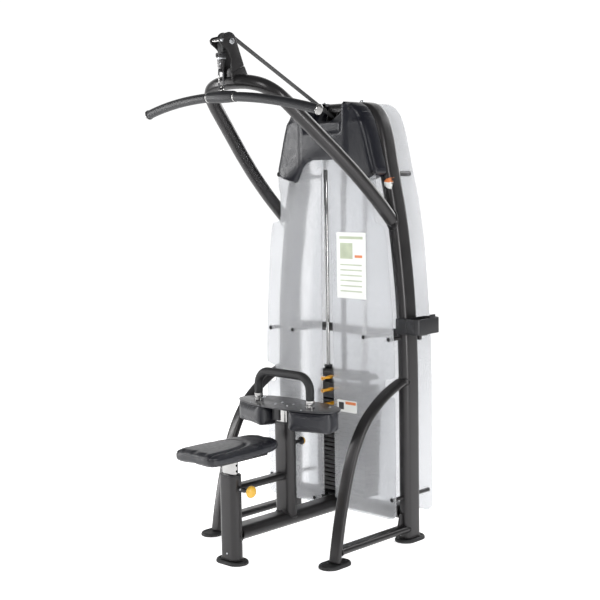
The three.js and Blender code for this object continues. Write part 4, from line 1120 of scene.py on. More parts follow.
def stem_piece():
    """Selector rod with a cross hole at the middle of each plate."""
    low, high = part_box("selector_stem")
    c = middle("selector_stem")
    shaft = upright_rod("stem_shaft", c.x, c.y, low.z, high.z, STEM_R, 40, CHROME)
    holes = []
    for i in range(PLATE_COUNT + 1):
        z = STACK_LOW.z + PLATE_T / 2 + i * PITCH
        holes.append(rod(f"stem_hole_{i}", Vector((0, c.y - 0.03, z)), Vector((0, c.y + 0.03, z)),
                         0.0056, 20))
    return carved(shaft, holes)


TEE = [(0, 1.1), (3.4, 1.1), (4.2, 0.5), (6.2, 0), (8.0, 0.2), (8.9, 1.6), (9, 3.4), (8.2, 5.6),
       (7.2, 10), (6.4, 18), (6.4, 28), (7.2, 40), (8.6, 52), (8.9, 60), (8.2, 67), (6.4, 70.5)]


def tee_piece(name, node, radius):
    """Golf-tee shaped handle: dished round head, waisted neck and a long shank."""
    low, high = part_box(node)
    tip = Vector((middle(node).x, low.y, middle(node).z))
    length = (high.y - low.y) / MM
    shank = [(radius, 71.5), (radius, length - 2), (radius - 1.2, length), (0, length)]
    body = lathe(name, mm(TEE + shank), tip, Y, AMBER, 40, sharp=50)
    dish = lathe(name + "_dish", mm([(0, 0.9), (3.3, 0.9), (3.3, 1.6), (0, 1.6)]), tip, Y, PLASTIC,
                 28)
    return joined(name, [body, dish])


def add_on_piece(level):
    """Small weight on the head plate's sleeves, open in the middle for the belt's lug."""
    node = level + "_add_on_weight"
    low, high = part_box(node)
    c = middle(node)
    bottom, top = low.z - BORE_PAST, high.z + BORE_PAST
    outline = rounded_rectangle(low.x, low.y, high.x, high.y, 0.010, 8)
    body = slab(node + "_block", outline, X, Y, Vector((0, 0, low.z)), high.z - low.z, CAST, 0.003)
    cutters = [upright_rod(f"{node}_bore_{s}", s * ROD_X * MM, c.y, bottom, top, 0.0176, 36)
               for s in (-1, 1)]
    cutters.append(slab(node + "_window", rounded_rectangle(-0.022, -0.017, 0.022, 0.017, 0.004), X,
                        Y, Vector((0, c.y, bottom)), top - bottom, CAST))
    cutters.append(rod(node + "_lever_bore", Vector((0, low.y - BORE_PAST, c.z)),
                       Vector((0, c.y - 0.018, c.z)), 0.0047, 24))
    return carved(body, cutters)


cover_nodes(head_plate_piece(), "stack", ["head_plate"])
cover_nodes(stem_piece(), "stack", ["selector_stem"])
for level in ("lower", "upper"):
    cover_nodes(add_on_piece(level), "stack", [level + "_add_on_weight"])
    cover_nodes(tee_piece(level + "_lever_piece", level + "_add_on_lever", 4.0), level + "_lever",
                [level + "_add_on_lever"])
cover_nodes(tee_piece("selector_pin_piece", "selector_pin", 4.6), "selector_pin", ["selector_pin"])


# ---------- shrouds ----------
SHROUD_RIGHT = [
    (12, 1679), (20, 1672), (24, 1652), (28, 1400), (33, 1050), (36, 830), (36, 164), (54, 164),
    (54, 119), *arc_points(366, 151, 32, -90, 0), (398, 660), *arc_points(388, 662, 10, 0, 90, 4),
    *arc_points(356, 688, 16, 270, 180, 6), *arc_points(356, 736, 16, 180, 90, 6), (397, 762),
    (396, 850), (392, 930), (386, 1040), (375, 1160), (361, 1330), (347, 1415), (338, 1434),
    (302, 1442), (290, 1456), (287, 1480), (287, 1560), (290, 1582), (298, 1600), (298, 1650),
    (284, 1700), (262, 1790), (240, 1850), (222, 1890),
]
REAR_SHROUD_RIGHT = [
    *arc_points(362, 144, 36, -90, 0), (398, 700), (394, 900), (385, 1040), (373, 1200),
    (356, 1370), (329, 1540), (294, 1680), (262, 1820), (244, 1882), (226, 1921), (198, 1953),
    (160, 1972), (110, 1977),
]


def sheet_piece(name, node, half):
    """Frosted sheet with a softened edge, cut to a symmetrical outline."""
    low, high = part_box(node)
    return slab(name, mm(both_sides(half)), X, Z, Vector((0, high.y, 0)), high.y - low.y, FROSTED,
                0.0010, 2)


SCREW_WASHER = [(0, 0), (12, 0), (12.4, 0.6), (12, 1.8), (10, 2.4), (0, 2.4)]
REAR_WASHER = [(0, 0), (10, 0), (10, 0.8), (9.4, 1.3), (0, 1.3)]


def shroud_screw(name, x, z, y):
    """Pale washer and a dark socket screw on the front of the sheet."""
    ring = lathe(name + "_washer", mm(SCREW_WASHER), Vector((x * MM, y, z * MM)), -Y, FROSTED, 36)
    head = cap_screw(name, Vector((x * MM, y - 0.0022, z * MM)), -Y, 0.0086, PLASTIC)
    return [ring, head]


def front_shroud_piece():
    parts = [sheet_piece("front_sheet", "front_shroud", SHROUD_RIGHT)]
    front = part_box("front_shroud")[0].y
    for side in (-1, 1):
        for x, z in ((half_width(930), 930), (221, 930), (COLUMN_X + 6, 209), (96, 140)):
            parts += shroud_screw(f"sheet_screw_{side}_{z}_{int(x)}", side * x, z, front)
    return joined("front_shroud_piece", parts)


def rear_shroud_piece():
    parts = [sheet_piece("rear_sheet", "rear_shroud", REAR_SHROUD_RIGHT)]
    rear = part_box("rear_shroud")[1].y
    for side in (-1, 1):
        for z in (205, 930, 1656):
            place = Vector((side * half_width(z) * MM, rear, z * MM))
            parts.append(lathe(f"rear_washer_{side}_{z}", mm(REAR_WASHER), place, Y, LABEL, 32))
            parts.append(cap_screw(f"rear_screw_{side}_{z}", place + Y * 0.0012, Y, 0.0068, PLASTIC))
    return joined("rear_shroud_piece", parts)


cover_nodes(front_shroud_piece(), "root", ["front_shroud"])
cover_nodes(rear_shroud_piece(), "root", ["rear_shroud"])


# ---------- head cover ----------
COVER_RIGHT = [
    (72, 1724), (108, 1713), (136, 1690), (156, 1655), (172, 1626), (182, 1620), (256, 1637),
    (292, 1650), (305, 1664), (305, 1684), (288, 1740), (272, 1800), (255, 1856), (238, 1903),
    (218, 1936), (196, 1958), (165, 1974), (135, 1980), (62, 1980), (50, 1968), (46, 1920),
    (30, 1898),
]


def edge_distance(px, pz, ring):
    """Distance from points to a closed outline."""
    best = np.full(len(px), 1e9)
    for (x0, z0), (x1, z1) in zip(ring, ring[1:] + ring[:1]):
        dx, dz = x1 - x0, z1 - z0
        t = np.clip(((px - x0) * dx + (pz - z0) * dz) / (dx * dx + dz * dz + 1e-9), 0, 1)
        best = np.minimum(best, np.hypot(px - x0 - t * dx, pz - z0 - t * dz))
    return best


def smooth_step(value, start, end):
    t = np.clip((value - start) / (end - start), 0, 1)
    return t * t * (3 - 2 * t)


COVER_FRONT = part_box("head_cover")[0].y / MM - COLUMN_Y
COVER_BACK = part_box("head_cover")[1].y / MM - COLUMN_Y
RIM, SIDE_ROUND = 9.0, 30.0      # rounding of every edge, and of the outer sides
OUTER_Z = (1650, 1684, 1740, 1800, 1856, 1903, 1936, 1958, 1974, 1980)
OUTER_X = (305, 305, 288, 272, 255, 238, 218, 196, 165, 135)


def cover_depth(x, z, edge):
    """Depth of the cover's face behind its foremost plane, in millimetres."""
    away = np.abs(x)
    wing = np.maximum(away - 138.0, 0.0)
    above_sheet = smooth_step(z, 1888, 1912)
    slope = 0.036 * wing + 3.5 * smooth_step(away, 126, 160) + above_sheet * 0.10 * wing
    rim = edge_round(RIM, edge)
    side = np.maximum(np.interp(z, OUTER_Z, OUTER_X) - away, 0.0)
    rim = np.maximum(rim, 0.95 * edge_round(SIDE_ROUND, side))
    scoop = smooth_step(z, 1836, 1852) * (1 - smooth_step(away, 96, 122))
    fall = 5.0 + 0.16 * np.maximum(z - 1846, 0) + 1.1 * np.maximum(z - 1890, 0)
    return slope + rim + scoop * fall


def edge_round(radius, distance):
    """Drop of a quarter-round edge at a distance in from it."""
    short = np.maximum(radius - distance, 0.0)
    return radius - np.sqrt(radius ** 2 - short ** 2)


def cover_triangles(ring, pitch=8.0):
    """Flat triangles that fill the cover's outline, with points on an even grid inside."""
    points = [Vector(p) for p in ring]
    count = len(points)
    inner = []
    for x in np.arange(-300, 301, pitch):
        for z in np.arange(1624, 1980, pitch):
            inner.append((x + (pitch / 2 if int(z / pitch) % 2 else 0.0), z))
    px, pz = np.array([p[0] for p in inner]), np.array([p[1] for p in inner])
    keep = edge_distance(px, pz, ring) > 4.5
    points += [Vector(p) for p, good in zip(inner, keep) if good]
    edges = [(i, (i + 1) % count) for i in range(count)]
    made = delaunay_2d_cdt(points, edges, [list(range(count))], 1, 0.001)
    return np.array([v.x for v in made[0]]), np.array([v.y for v in made[0]]), made[2]


def cover_skirt(mesh):
    """Runs the cover's open edge back to the sheet below it, or to the cover's own rear."""
    work = bmesh.new()
    work.from_mesh(mesh)
    rim = [e for e in work.edges if e.is_boundary]
    grown = bmesh.ops.extrude_edge_only(work, edges=rim)
    sheet_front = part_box("front_shroud")[0].y - 0.0005
    sheet_edge = [(x, z) for x, z in SHROUD_RIGHT if z > 1590]
    for v in (g for g in grown["geom"] if isinstance(g, bmesh.types.BMVert)):
        reach = np.interp(v.co.z / MM, [z for x, z in sheet_edge], [x for x, z in sheet_edge])
        covered = abs(v.co.x / MM) < reach - 1 and v.co.z / MM < 1889
        v.co.y = sheet_front if covered else (COLUMN_Y + COVER_BACK) * MM
    bmesh.ops.recalc_face_normals(work, faces=work.faces)
    if sum(f.normal.y * f.calc_area() for f in work.faces) > 0:
        bmesh.ops.reverse_faces(work, faces=work.faces)
    work.to_mesh(mesh)
    work.free()


def head_cover_piece():
    ring = fillet(both_sides(COVER_RIGHT), 7, 5)
    shrink = (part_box("head_cover")[1].x / MM - 0.6) / max(p[0] for p in ring)
    ring = [(x * min(shrink, 1.0), z) for x, z in ring]
    vx, vz, faces = cover_triangles(ring)
    depth = cover_depth(vx, vz, edge_distance(vx, vz, ring))
    mesh = bpy.data.meshes.new("cover_face")
    mesh.from_pydata([tuple(at(x, COVER_FRONT + d, z)) for x, d, z in zip(vx, depth, vz)], [],
                     [tuple(f) for f in faces])
    obj = bpy.data.objects.new("cover_face", mesh)
    bpy.context.scene.collection.objects.link(obj)
    mesh.materials.append(COVER)
    cover_skirt(mesh)
    shell = obj.modifiers.new("Shell", "SOLIDIFY")
    shell.thickness = 0.003
    shell.offset = -1
    apply_modifiers(obj)
    tidy_mesh(obj, sharp=34)
    parts = [obj]
    for side in (-1, 1):
        for x, z, r in ((159, 1950, 7.0), (288, 1662, 8.0)):
            depth = float(cover_depth(np.array([x]), np.array([z]), np.array([40.0]))[0])
            place = at(side * x, COVER_FRONT + depth - 0.4, z)
            ring = [(r + 3, 2), (r + 3.2, -0.2), (r + 2, -0.8), (r + 0.6, 0.2), (r + 0.4, 2),
                    (r + 3, 2)]
            parts.append(lathe(f"cover_ring_{side}_{z}", mm(ring), place, Y, PLASTIC, 32))
            parts.append(cap_screw(f"cover_screw_{side}_{z}", place + Y * 0.0008, -Y, r * MM,
                                   PLASTIC))
    return joined("head_cover_piece", parts)


cover_nodes(head_cover_piece(), "root", ["head_cover"])


# ---------- accessory tray ----------
def tray_piece():
    """Open moulded tray on the right column, held by a flange and two bolts."""
    low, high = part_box("accessory_tray")
    col = half_width(983) * MM + 0.0303
    y = COLUMN_Y * MM
    y0, y1, top = y - 0.064, y + 0.100, 1.018
    shell = slab("tray_shell", rounded_rectangle(col, y0, high.x, y1, 0.022, 8), X, Y,
                 Vector((0, 0, low.z)), top - low.z, PLASTIC, 0.0028, 4)
    hollow = rounded_rectangle(col + 0.004, y0 + 0.0045, high.x - 0.0045, y1 - 0.0045, 0.017, 8)
    carved(shell, [slab("tray_well", hollow, X, Y, Vector((0, 0, low.z + 0.005)), 0.1, PLASTIC)])
    tab = slab("tray_tab", mm(fillet([(18, 1010), (64, 1010), (61, 1034), (24, 1034)], 5)), Y, Z,
               Vector((high.x - 0.0052, y, 0)), 0.005, PLASTIC, 0.001)
    flange = slab("tray_flange", rounded_rectangle(low.x, low.z, col + 0.016, top, 0.006), X, Z,
                  Vector((0, y - 0.0530, 0)), 0.0108, PLASTIC, 0.002)
    bolts = [cap_screw("tray_bolt_front", Vector((col + 0.011, y0 + 0.006, top - 0.012)), -Y, 0.007),
             hex_bolt("tray_bolt_rear", Vector((col + 0.006, y1 - 0.024, top - 0.026)), X, 0.006)]
    return joined("accessory_tray_piece", [shell, tab, flange, *bolts])


cover_nodes(tray_piece(), "root", ["accessory_tray"])


# ---------- plain labels, with no lettering ----------
def label_piece(name, x0, z0, x1, z1, blocks):
    """Thin sheet on the front shroud, printed with plain coloured blocks."""
    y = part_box("front_shroud")[0].y
    sheet = slab(name, mm(rounded_rectangle(x0, z0, x1, z1, 4, 5)), X, Z, Vector((0, y, 0)), 0.0004,
                 LABEL)
    parts = [sheet]
    for i, (u0, v0, u1, v1, mat) in enumerate(blocks):
        box = (x0 + (x1 - x0) * u0, z0 + (z1 - z0) * v0, x0 + (x1 - x0) * u1, z0 + (z1 - z0) * v1)
        parts.append(slab(f"{name}_block_{i}", mm(rounded_rectangle(*box, 1.0, 2)), X, Z,
                          Vector((0, y - 0.0004, 0)), 0.00012, mat))
    return joined(name, parts)


def column_label_piece():
    """Oval sticker wrapped on the right column: a plain band over a pale field."""
    vertices, faces, band = [], [], []
    rings, sides = 8, 40
    centre_z = 1614.0
    for r in range(rings + 1):
        for k in range(sides):
            angle = 2 * math.pi * k / sides
            along = 43.0 * r / rings * math.cos(angle) - 5.0
            z = centre_z + 27.0 * r / rings * math.sin(angle)
            turn = min(along, 0.0) / 30.3
            column_x = half_width(z)
            vertices.append(at(column_x + 30.25 * math.cos(turn),
                               -22.5 + 30.25 * math.sin(turn) + max(along, 0.0), z))
            band.append(z > centre_z + 4)
    for r in range(rings):
        for k in range(sides):
            m = (k + 1) % sides
            a, b = r * sides + k, r * sides + m
            faces.append((a, b, b + sides, a + sides))
    obj = mesh_object("column_label", vertices, faces, LABEL)
    obj.data.materials.append(LABEL_BAND)
    for poly in obj.data.polygons:
        if all(band[v] for v in poly.vertices):
            poly.material_index = 1
    mod = obj.modifiers.new("Thick", "SOLIDIFY")
    mod.thickness = 0.0003
    mod.offset = 1
    apply_modifiers(obj)
    return obj


PLACARD_BLOCKS = [(0.1, 0.90, 0.9, 0.94, LABEL_MARK), (0.12, 0.60, 0.55, 0.84, LABEL_MARK),
                  (0.62, 0.62, 0.88, 0.66, LABEL_BAND)]
PLACARD_BLOCKS += [(0.12, v, 0.86, v + 0.018, LABEL_MARK) for v in (0.10, 0.18, 0.26, 0.34, 0.42,
                                                                    0.50)]
STICKER_BLOCKS = [(0.42, 0.66, 0.95, 0.9, LABEL_BAND), (0.08, 0.2, 0.34, 0.8, PLASTIC)]
for made in (label_piece("placard", 66, 1100, 240, 1398, PLACARD_BLOCKS),
             label_piece("shroud_sticker", 57, 575, 176, 630, STICKER_BLOCKS),
             column_label_piece()):
    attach(made, "root")


# ---------- seat and thigh posts, collars and pins ----------
POST = mm(flat_oval(80, 38, 18))


def post_tube(name, node, top, hole_axis, hole_zs):
    """Plated oval post with a row of locating holes."""
    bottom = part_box(node)[0].z
    x, y = middle(node).x, middle(node).y
    tube = sweep(name, POST, [Vector((x, y, z)) for z in (bottom, (bottom + top) / 2, top)], X,
                 CHROME)
    cutters = []
    for i, z in enumerate(hole_zs):
        centre = Vector((x, y, z))
        cutters.append(rod(f"{name}_hole_{i}", centre + hole_axis * 0.012,
                           centre + hole_axis * 0.060, 0.0055))
    return carved(tube, cutters)


def collar_piece(node):
    """Plastic sleeve inside the tube's mouth, with a rim on top of it."""
    low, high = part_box(node)
    c, top = middle(node), high.z
    outer, inner, hole = (mm(flat_oval(*size, 20)) for size in ((105, 60), (98, 53), (81, 39)))
    rings = [(inner, low.z), (inner, top - 0.0093), (outer, top - 0.0087), (outer, top - 0.0016),
             ([(u * 0.985, v * 0.972) for u, v in outer], top - 0.0003),
             ([(u * 0.95, v * 0.93) for u, v in outer], top), (hole, top), (hole, low.z)]
    vertices, faces, count = [], [], len(outer)
    for i, (ring, z) in enumerate(rings):
        j = (i + 1) % len(rings)
        vertices += [Vector((c.x + u, c.y + v, z)) for u, v in ring]
        for k in range(count):
            m = (k + 1) % count
            faces.append((i * count + k, i * count + m, j * count + m, j * count + k))
    return mesh_object(node + "_piece", vertices, faces, PLASTIC, sharp=32)


PIN_NOSE = [(0, -6), (6.5, -6), (7.8, -4.6), (8, 8), (8, 14.5), (0, 14.5)]
PIN_BARREL = [(0, 14), (10.2, 14), (11, 16), (11, 18.6), (9.8, 19.4), (11, 20.2), (11, 23.4),
              (9.8, 24.2), (11, 25), (11, 30), (8.4, 34), (8, 36), (8, 58), (0, 58)]
PIN_DOME = [(0, 68), (26, 68), (25.8, 70.4), (25, 73.6), (22.6, 77.2), (18.6, 80.2), (13, 82.6),
            (6.4, 83.8), (0, 84)]


def spring_pin_piece(name, origin, axis, knob, rim, size=1.0):
    """Spring plunger: steel nose, black barrel with grip rings and a domed knob."""
    skirt = [(0, 57.4), (11, 57.4), (19 * size, 59.6), (23.5 * size, 62), (25.6 * size, 65),
             (26 * size, 68), (0, 68)]
    dome = [(r * size, along) for r, along in PIN_DOME]
    parts = [lathe(f"{name}_{part}", mm(profile), origin, axis, mat, sides)
             for part, profile, mat, sides in (
                 ("nose", PIN_NOSE, STEEL, 32), ("barrel", PIN_BARREL, PLASTIC, 40),
                 ("skirt", skirt, rim, 56), ("dome", dome, knob, 56))]
    return joined(name, parts)


SEAT_PLATE_Z = 0.4600


def seat_post_piece():
    """Post, the plate welded on it and the bolts up into the seat."""
    y, top = SEAT_Y * MM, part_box("seat_post")[1].z
    holes = [SEAT_PIN_Z + HOLE_PITCH * i for i in range(-4, 6)]
    tube = post_tube("seat_post_tube", "seat_post", SEAT_PLATE_Z + 0.0002, X, holes)
    outline = rounded_rectangle(-0.090, -0.150, 0.090, 0.150, 0.020, 8)
    plate = slab("seat_plate", outline, X, Y, Vector((0, y, SEAT_PLATE_Z)), top - SEAT_PLATE_Z,
                 PAINT, 0.0012)
    points = [Vector((u, y + v, SEAT_PLATE_Z - 0.0008)) for u, v in mm(flat_oval(82, 40, 14))]
    bolts = [hex_bolt(f"seat_bolt_{i}_{j}", Vector((i * 0.062, y + j * 0.112, SEAT_PLATE_Z)), -Z,
                      0.0055) for i in (-1, 1) for j in (-1, 1)]
    bead = weld("seat_plate_bead", points, radius=2.2)
    return joined("seat_post_piece", [tube, plate, bead, *bolts])


def thigh_post_piece():
    y, top = UPRIGHT_Y * MM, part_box("thigh_post")[1].z
    holes = [THIGH_PIN_Z + HOLE_PITCH * i for i in range(-6, 1)]
    tube = post_tube("thigh_post_tube", "thigh_post", top, Y, holes)
    bracket = slab("thigh_bracket", rounded_rectangle(-0.050, -0.031, -0.006, -0.018, 0.002, 4), X,
                   Y, Vector((0, y, 0.570)), top - 0.570, PLASTIC, 0.0012)
    return joined("thigh_post_piece", [tube, bracket])


# ---------- padded pieces ----------
PRESSURE, SIM_STEPS = 4.0, 20


def points_of(obj):
    flat = np.empty(len(obj.data.vertices) * 3)
    obj.data.vertices.foreach_get("co", flat)
    return flat.reshape(-1, 3)


def inflated(obj, cap):
    """Blows a closed shape up as cloth, holding each point within 'cap' of where it began."""
    mod = obj.modifiers.new("Remesh", "REMESH")
    mod.mode = "VOXEL"
    mod.voxel_size = 0.005
    apply_modifiers(obj)
    before = points_of(obj)
    cloth = obj.modifiers.new("Cloth", "CLOTH")
    cloth.settings.use_pressure = True
    cloth.settings.uniform_pressure_force = PRESSURE
    cloth.settings.effector_weights.gravity = 0.0
    cloth.settings.quality = 5
    cloth.settings.mass = 0.3
    cloth.settings.tension_stiffness = 15
    cloth.settings.compression_stiffness = 15
    cloth.collision_settings.use_collision = False
    cloth.point_cache.frame_start = 1
    cloth.point_cache.frame_end = SIM_STEPS
    scene = bpy.context.scene
    for step in range(1, SIM_STEPS + 1):
        scene.frame_set(step)
    apply_modifiers(obj)
    scene.frame_set(1)
    moved = points_of(obj) - before
    far = np.linalg.norm(moved, axis=1, keepdims=True)
    moved *= np.minimum(1.0, cap / np.maximum(far, 1e-9))
    obj.data.vertices.foreach_set("co", (before + moved).ravel())
    mod = obj.modifiers.new("Smooth", "SUBSURF")
    mod.levels = 1
    apply_modifiers(obj)
    smooth_shaded(obj)


def reshape_points(obj, change):
    """Moves an object's points by a function of an array of positions in millimetres."""
    obj.data.vertices.foreach_set("co", (change(points_of(obj) / MM) * MM).ravel())
    obj.data.update()


SEAT_RIGHT = [
    (74, -217), (104, -215), (120, -205), (127, -184), (127, -140), (123, -60), (118, 20),
    (112, 95), (105, 150), (94, 192), (76, 220), (46, 234),
]


def super_distance(x, y, half, centre, reach, power):
    """How far a point lies outside a U-shaped line that opens towards the front."""
    u = np.abs(x) / half
    v = np.maximum(y - centre, 0.0) / reach
    return ((u ** power + v ** power) ** (1 / power) - 1.0) * min(half, reach)


def seat_pad_piece():
    """Seat: raised U-shaped panel between two stitched grooves, and a seam round its side."""
    low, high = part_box("seat_pad")
    bottom, top = low.z / MM, high.z / MM
    outline = [(x * 1.02, SEAT_Y + y * 1.01) for x, y in fillet(both_sides(SEAT_RIGHT), 10, 4)]
    pad = slab("seat_pad_piece", mm(outline), X, Y, Vector((0, 0, low.z + 0.002)), 0.040, LEATHER)
    bevelled(pad, 0.013, 4)
    inflated(pad, 0.007)

    def shape(p):
        x, y, z = p[:, 0], p[:, 1] - SEAT_Y, p[:, 2]
        up = smooth_step(z, 490, 508)
        crown = 5.0 * np.clip(1 - (x / 124.0) ** 2, 0, 1) * np.clip(1 - (y / 232.0) ** 4, 0, 1)
        inner = super_distance(x, y, 96.0, -150.0, 217.0, 2.7)
        outer = super_distance(x, y, 126.0, -80.0, 238.0, 2.5)
        panel = 3.4 * (1 - smooth_step(inner, -10, 0))
        groove = -4.6 * np.exp(-(inner / 6.0) ** 2) - 3.8 * np.exp(-((outer - 2) / 6.0) ** 2)
        z = z + up * (crown + panel + groove)
        seam = np.exp(-((z - 502.0) / 2.2) ** 2) * (z < 512)
        away = 1.0 - 0.012 * seam
        z = np.clip(z, bottom + 0.1, top + 8.8)
        return np.stack([x * away, y * away + SEAT_Y, z], axis=1)

    reshape_points(pad, shape)
    return pad


def thigh_pad_piece(side):
    """Thigh pad: a block swept back from the upright, with a seam below its top edge."""
    node = ("right" if side > 0 else "left") + "_thigh_pad"
    low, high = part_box(node)
    sweep_back = math.radians(16)
    cos, sin = math.cos(sweep_back), math.sin(sweep_back)
    outline = [(u * cos - v * sin + 80, u * sin + v * cos - 82 + UPRIGHT_Y)
               for u, v in rounded_rectangle(3, 3, 218, 109, 25, 8)]
    if side < 0:
        outline = [(-x, y) for x, y in reversed(outline)]
    pad = slab(node + "_piece", mm(outline), X, Y, Vector((0, 0, low.z + 0.003)),
               high.z - low.z - 0.0035, LEATHER)
    bevelled(pad, 0.011, 4)
    inflated(pad, 0.005)
    centre = np.array(middle(node)) / MM
    slack = np.array((3.0, 3.0, -0.1))
    floor_mm, top_mm = np.array(low) / MM - slack, np.array(high) / MM + slack

    def shape(p):
        out = p.copy()
        seam = np.exp(-((p[:, 2] - (high.z / MM - 12.5)) / 2.2) ** 2)
        away = (1.0 - 0.016 * seam)[:, None]
        out[:, :2] = centre[:2] + (p[:, :2] - centre[:2]) * away
        return np.clip(out, floor_mm, top_mm)

    reshape_points(pad, shape)
    return pad


cover_nodes(collar_piece("seat_collar"), "root", ["seat_collar"])
cover_nodes(collar_piece("thigh_collar"), "root", ["thigh_collar"])
cover_nodes(seat_post_piece(), "seat", ["seat_post"])
cover_nodes(thigh_post_piece(), "thigh_pads", ["thigh_post"])
cover_nodes(spring_pin_piece("seat_pin_piece", Vector((0.0575, SEAT_Y * MM, SEAT_PIN_Z)), X,
                             YELLOW, YELLOW), "seat_pin", ["seat_pin"])
cover_nodes(spring_pin_piece("thigh_pin_piece", Vector((0, UPRIGHT_Y * MM + 0.035, THIGH_PIN_Z)),
                             Y, YELLOW, PLASTIC, 0.72), "thigh_pin", ["thigh_pin"])
PADS = [(seat_pad_piece(), "seat", "seat_pad", 0.7)]
PADS += [(thigh_pad_piece(s), "thigh_pads", n + "_thigh_pad", 0.8)
         for n, s in (("left", -1), ("right", 1))]
for pad, body, node, fill in PADS:
    cover_nodes(pad, body, [node])


# ---------- thigh plate and handle ----------
THIGH_RIGHT = [
    (84, -85), (165, -69), (244, -42), (278, -19), (294, 8), (290, 42), (260, 88), (200, 120),
    (122, 135),
]
HANDLE_X, HANDLE_BEND, HANDLE_TOP, HANDLE_LOCAL = 160.0, 62.0, 780.0, -4.0


def handle_path(bottom, step=0.006):
    """Half a stirrup from the foot of one side, mirrored to the other."""
    y = HANDLE_LOCAL + UPRIGHT_Y
    points = [Vector((HANDLE_X, y, bottom)) * MM]
    for i in range(13):
        a = math.pi / 2 * i / 12
        points.append(Vector((HANDLE_X - HANDLE_BEND * (1 - math.cos(a)), y,
                              HANDLE_TOP - HANDLE_BEND * (1 - math.sin(a)))) * MM)
    mirror = [Vector((-p.x, p.y, p.z)) for p in reversed(points)]
    return spline(points + mirror, step)


def thigh_plate_piece():
    low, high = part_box("thigh_plate")
    outline = [(x, UPRIGHT_Y + y) for x, y in fillet(both_sides(THIGH_RIGHT), 16, 6)]
    parts = [slab("thigh_plate_piece", mm(outline), X, Y, Vector((0, 0, low.z)), high.z - low.z,
                  PLATE, 0.0012, 3)]
    for side in (-1, 1):
        for x, y in ((156, -58), (205, 74), (36, -22), (36, 22)):
            place = Vector((side * x, UPRIGHT_Y + y, high.z / MM)) * MM
            parts.append(cap_screw(f"plate_bolt_{side}_{x}_{y}", place, Z, 0.0055))
    return joined("thigh_plate_piece", parts)


FERRULE = [(0, 0), (20.0, 0), (20.5, 0.6), (20.5, 11.4), (19.6, 12.4), (18.2, 13.4), (18.2, 15.2),
           (19.2, 16.8), (19.5, 18), (19.5, 26), (18.9, 27), (19.5, 28), (19.5, 35), (18.8, 36),
           (0, 36)]


def handle_tube_piece():
    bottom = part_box("handle_tube")[0].z
    parts = [sweep("handle_core", circle(0.0108, 28), handle_path(646), Y, CHROME)]
    for side in (-1, 1):
        base = Vector((side * HANDLE_X * MM, (UPRIGHT_Y + HANDLE_LOCAL) * MM, bottom))
        parts.append(lathe(f"ferrule_{side}", mm(FERRULE), base, Z, CHROME, 48, sharp=30))
    return joined("handle_tube_piece", parts)


def handle_grip_piece():
    path = handle_path(678.5)
    return sweep("handle_foam_piece", circle(0.0190, 40), path, Y, FOAM,
                 scale=end_rounding(path, (0.94, 0.985)))


cover_nodes(thigh_plate_piece(), "thigh_pads", ["thigh_plate"])
cover_nodes(handle_tube_piece(), "thigh_pads", ["handle_tube"])
cover_nodes(handle_grip_piece(), "thigh_pads", ["handle_grip"])


# ---------- floor, lights and camera ----------
def floor():
    mesh = bpy.data.meshes.new("floor")
    half = 14.0
    mesh.from_pydata([(-half, -half, -0.0005), (half, -half, -0.0005), (half, half, -0.0005),
                      (-half, half, -0.0005)], [], [(0, 1, 2, 3)])
    obj = bpy.data.objects.new("floor", mesh)
    bpy.context.scene.collection.objects.link(obj)
    mat, nodes, links, shader = new_material("floor", (0.90, 0.90, 0.90), 0.7)
    coords = object_coords(nodes)
    slow = noise(nodes, links, coords, 0.8, 2.0)
    links.new(ramp(nodes, links, slow.outputs["Fac"], (0.89, 0.89, 0.89), (0.91, 0.91, 0.91)),
              shader.inputs["Base Color"])
    shader.inputs["Emission Color"].default_value = (1, 1, 1, 1)
    shader.inputs["Emission Strength"].default_value = 0.78
    mesh.materials.append(mat)


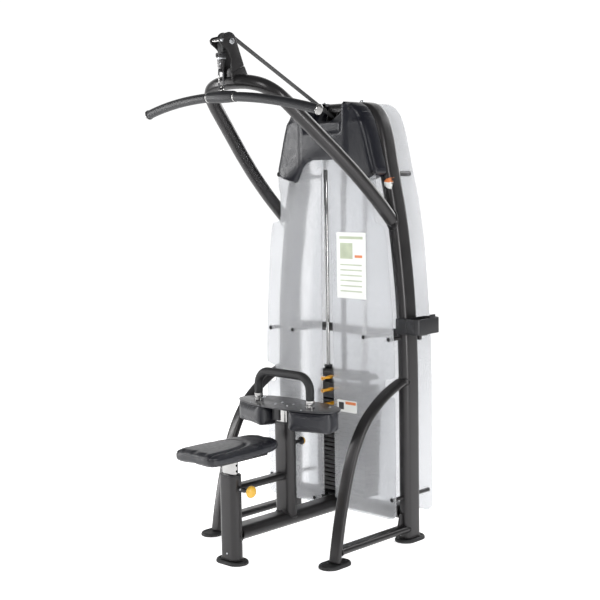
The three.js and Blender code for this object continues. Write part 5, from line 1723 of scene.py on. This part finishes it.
def light(name, position, target, width, height, power, color=(1, 1, 1)):
    data = bpy.data.lights.new(name, "AREA")
    data.shape = "RECTANGLE"
    data.size = width
    data.size_y = height
    data.energy = power
    data.color = color
    obj = bpy.data.objects.new(name, data)
    bpy.context.scene.collection.objects.link(obj)
    obj.location = position
    obj.rotation_euler = (Vector(target) - Vector(position)).to_track_quat("-Z", "Y").to_euler()


BACKDROP_SIDE = (-0.693, 0.721, 0.0)      # the studio's white wall stands this way
DIM_SKY, BRIGHT_SKY = 0.22, 1.06


def studio():
    bpy.context.scene.view_settings.view_transform = "Standard"
    world = bpy.data.worlds.new("studio")
    bpy.context.scene.world = world
    world.use_nodes = True
    nodes, links = world.node_tree.nodes, world.node_tree.links
    back = nodes["Background"]
    back.inputs["Color"].default_value = (1, 1, 1, 1)
    direction = nodes.new("ShaderNodeTexCoord").outputs["Generated"]
    toward = nodes.new("ShaderNodeVectorMath")
    toward.operation = "DOT_PRODUCT"
    toward.inputs[1].default_value = BACKDROP_SIDE
    links.new(direction, toward.inputs[0])
    links.new(spread(nodes, links, toward.outputs["Value"], DIM_SKY, BRIGHT_SKY, 0.55, 0.85),
              back.inputs["Strength"])
    centre = (0, 0, 1.0)
    light("key", (1.2, -5.2, 3.6), centre, 2.2, 2.2, 105)
    light("left_strip", (-3.6, -2.6, 1.7), centre, 0.5, 3.2, 95)
    light("right_strip", (4.6, -0.6, 1.8), centre, 0.5, 3.2, 105)
    light("rear", (0.4, 4.2, 3.0), centre, 3.0, 2.4, 90)


def camera():
    data = bpy.data.cameras.new("camera")
    data.sensor_width = 36.0
    data.sensor_fit = "HORIZONTAL"
    data.lens = 73.74
    data.clip_end = 60
    obj = bpy.data.objects.new("camera", data)
    bpy.context.scene.collection.objects.link(obj)
    yaw, pitch, roll = (math.radians(a) for a in (43.88, 5.92, -0.98))
    ahead = Vector((-math.sin(yaw) * math.cos(pitch), math.cos(yaw) * math.cos(pitch),
                    -math.sin(pitch)))
    level = Vector((math.cos(yaw), math.sin(yaw), 0))
    up = level.cross(ahead)
    right = math.cos(roll) * level + math.sin(roll) * up
    top = -math.sin(roll) * level + math.cos(roll) * up
    turn = Matrix((right, top, -ahead)).transposed()
    obj.matrix_world = Matrix.Translation(Vector((3.805, -3.8465, 1.669))) @ turn.to_4x4()
    bpy.context.scene.camera = obj


floor()
studio()
camera()
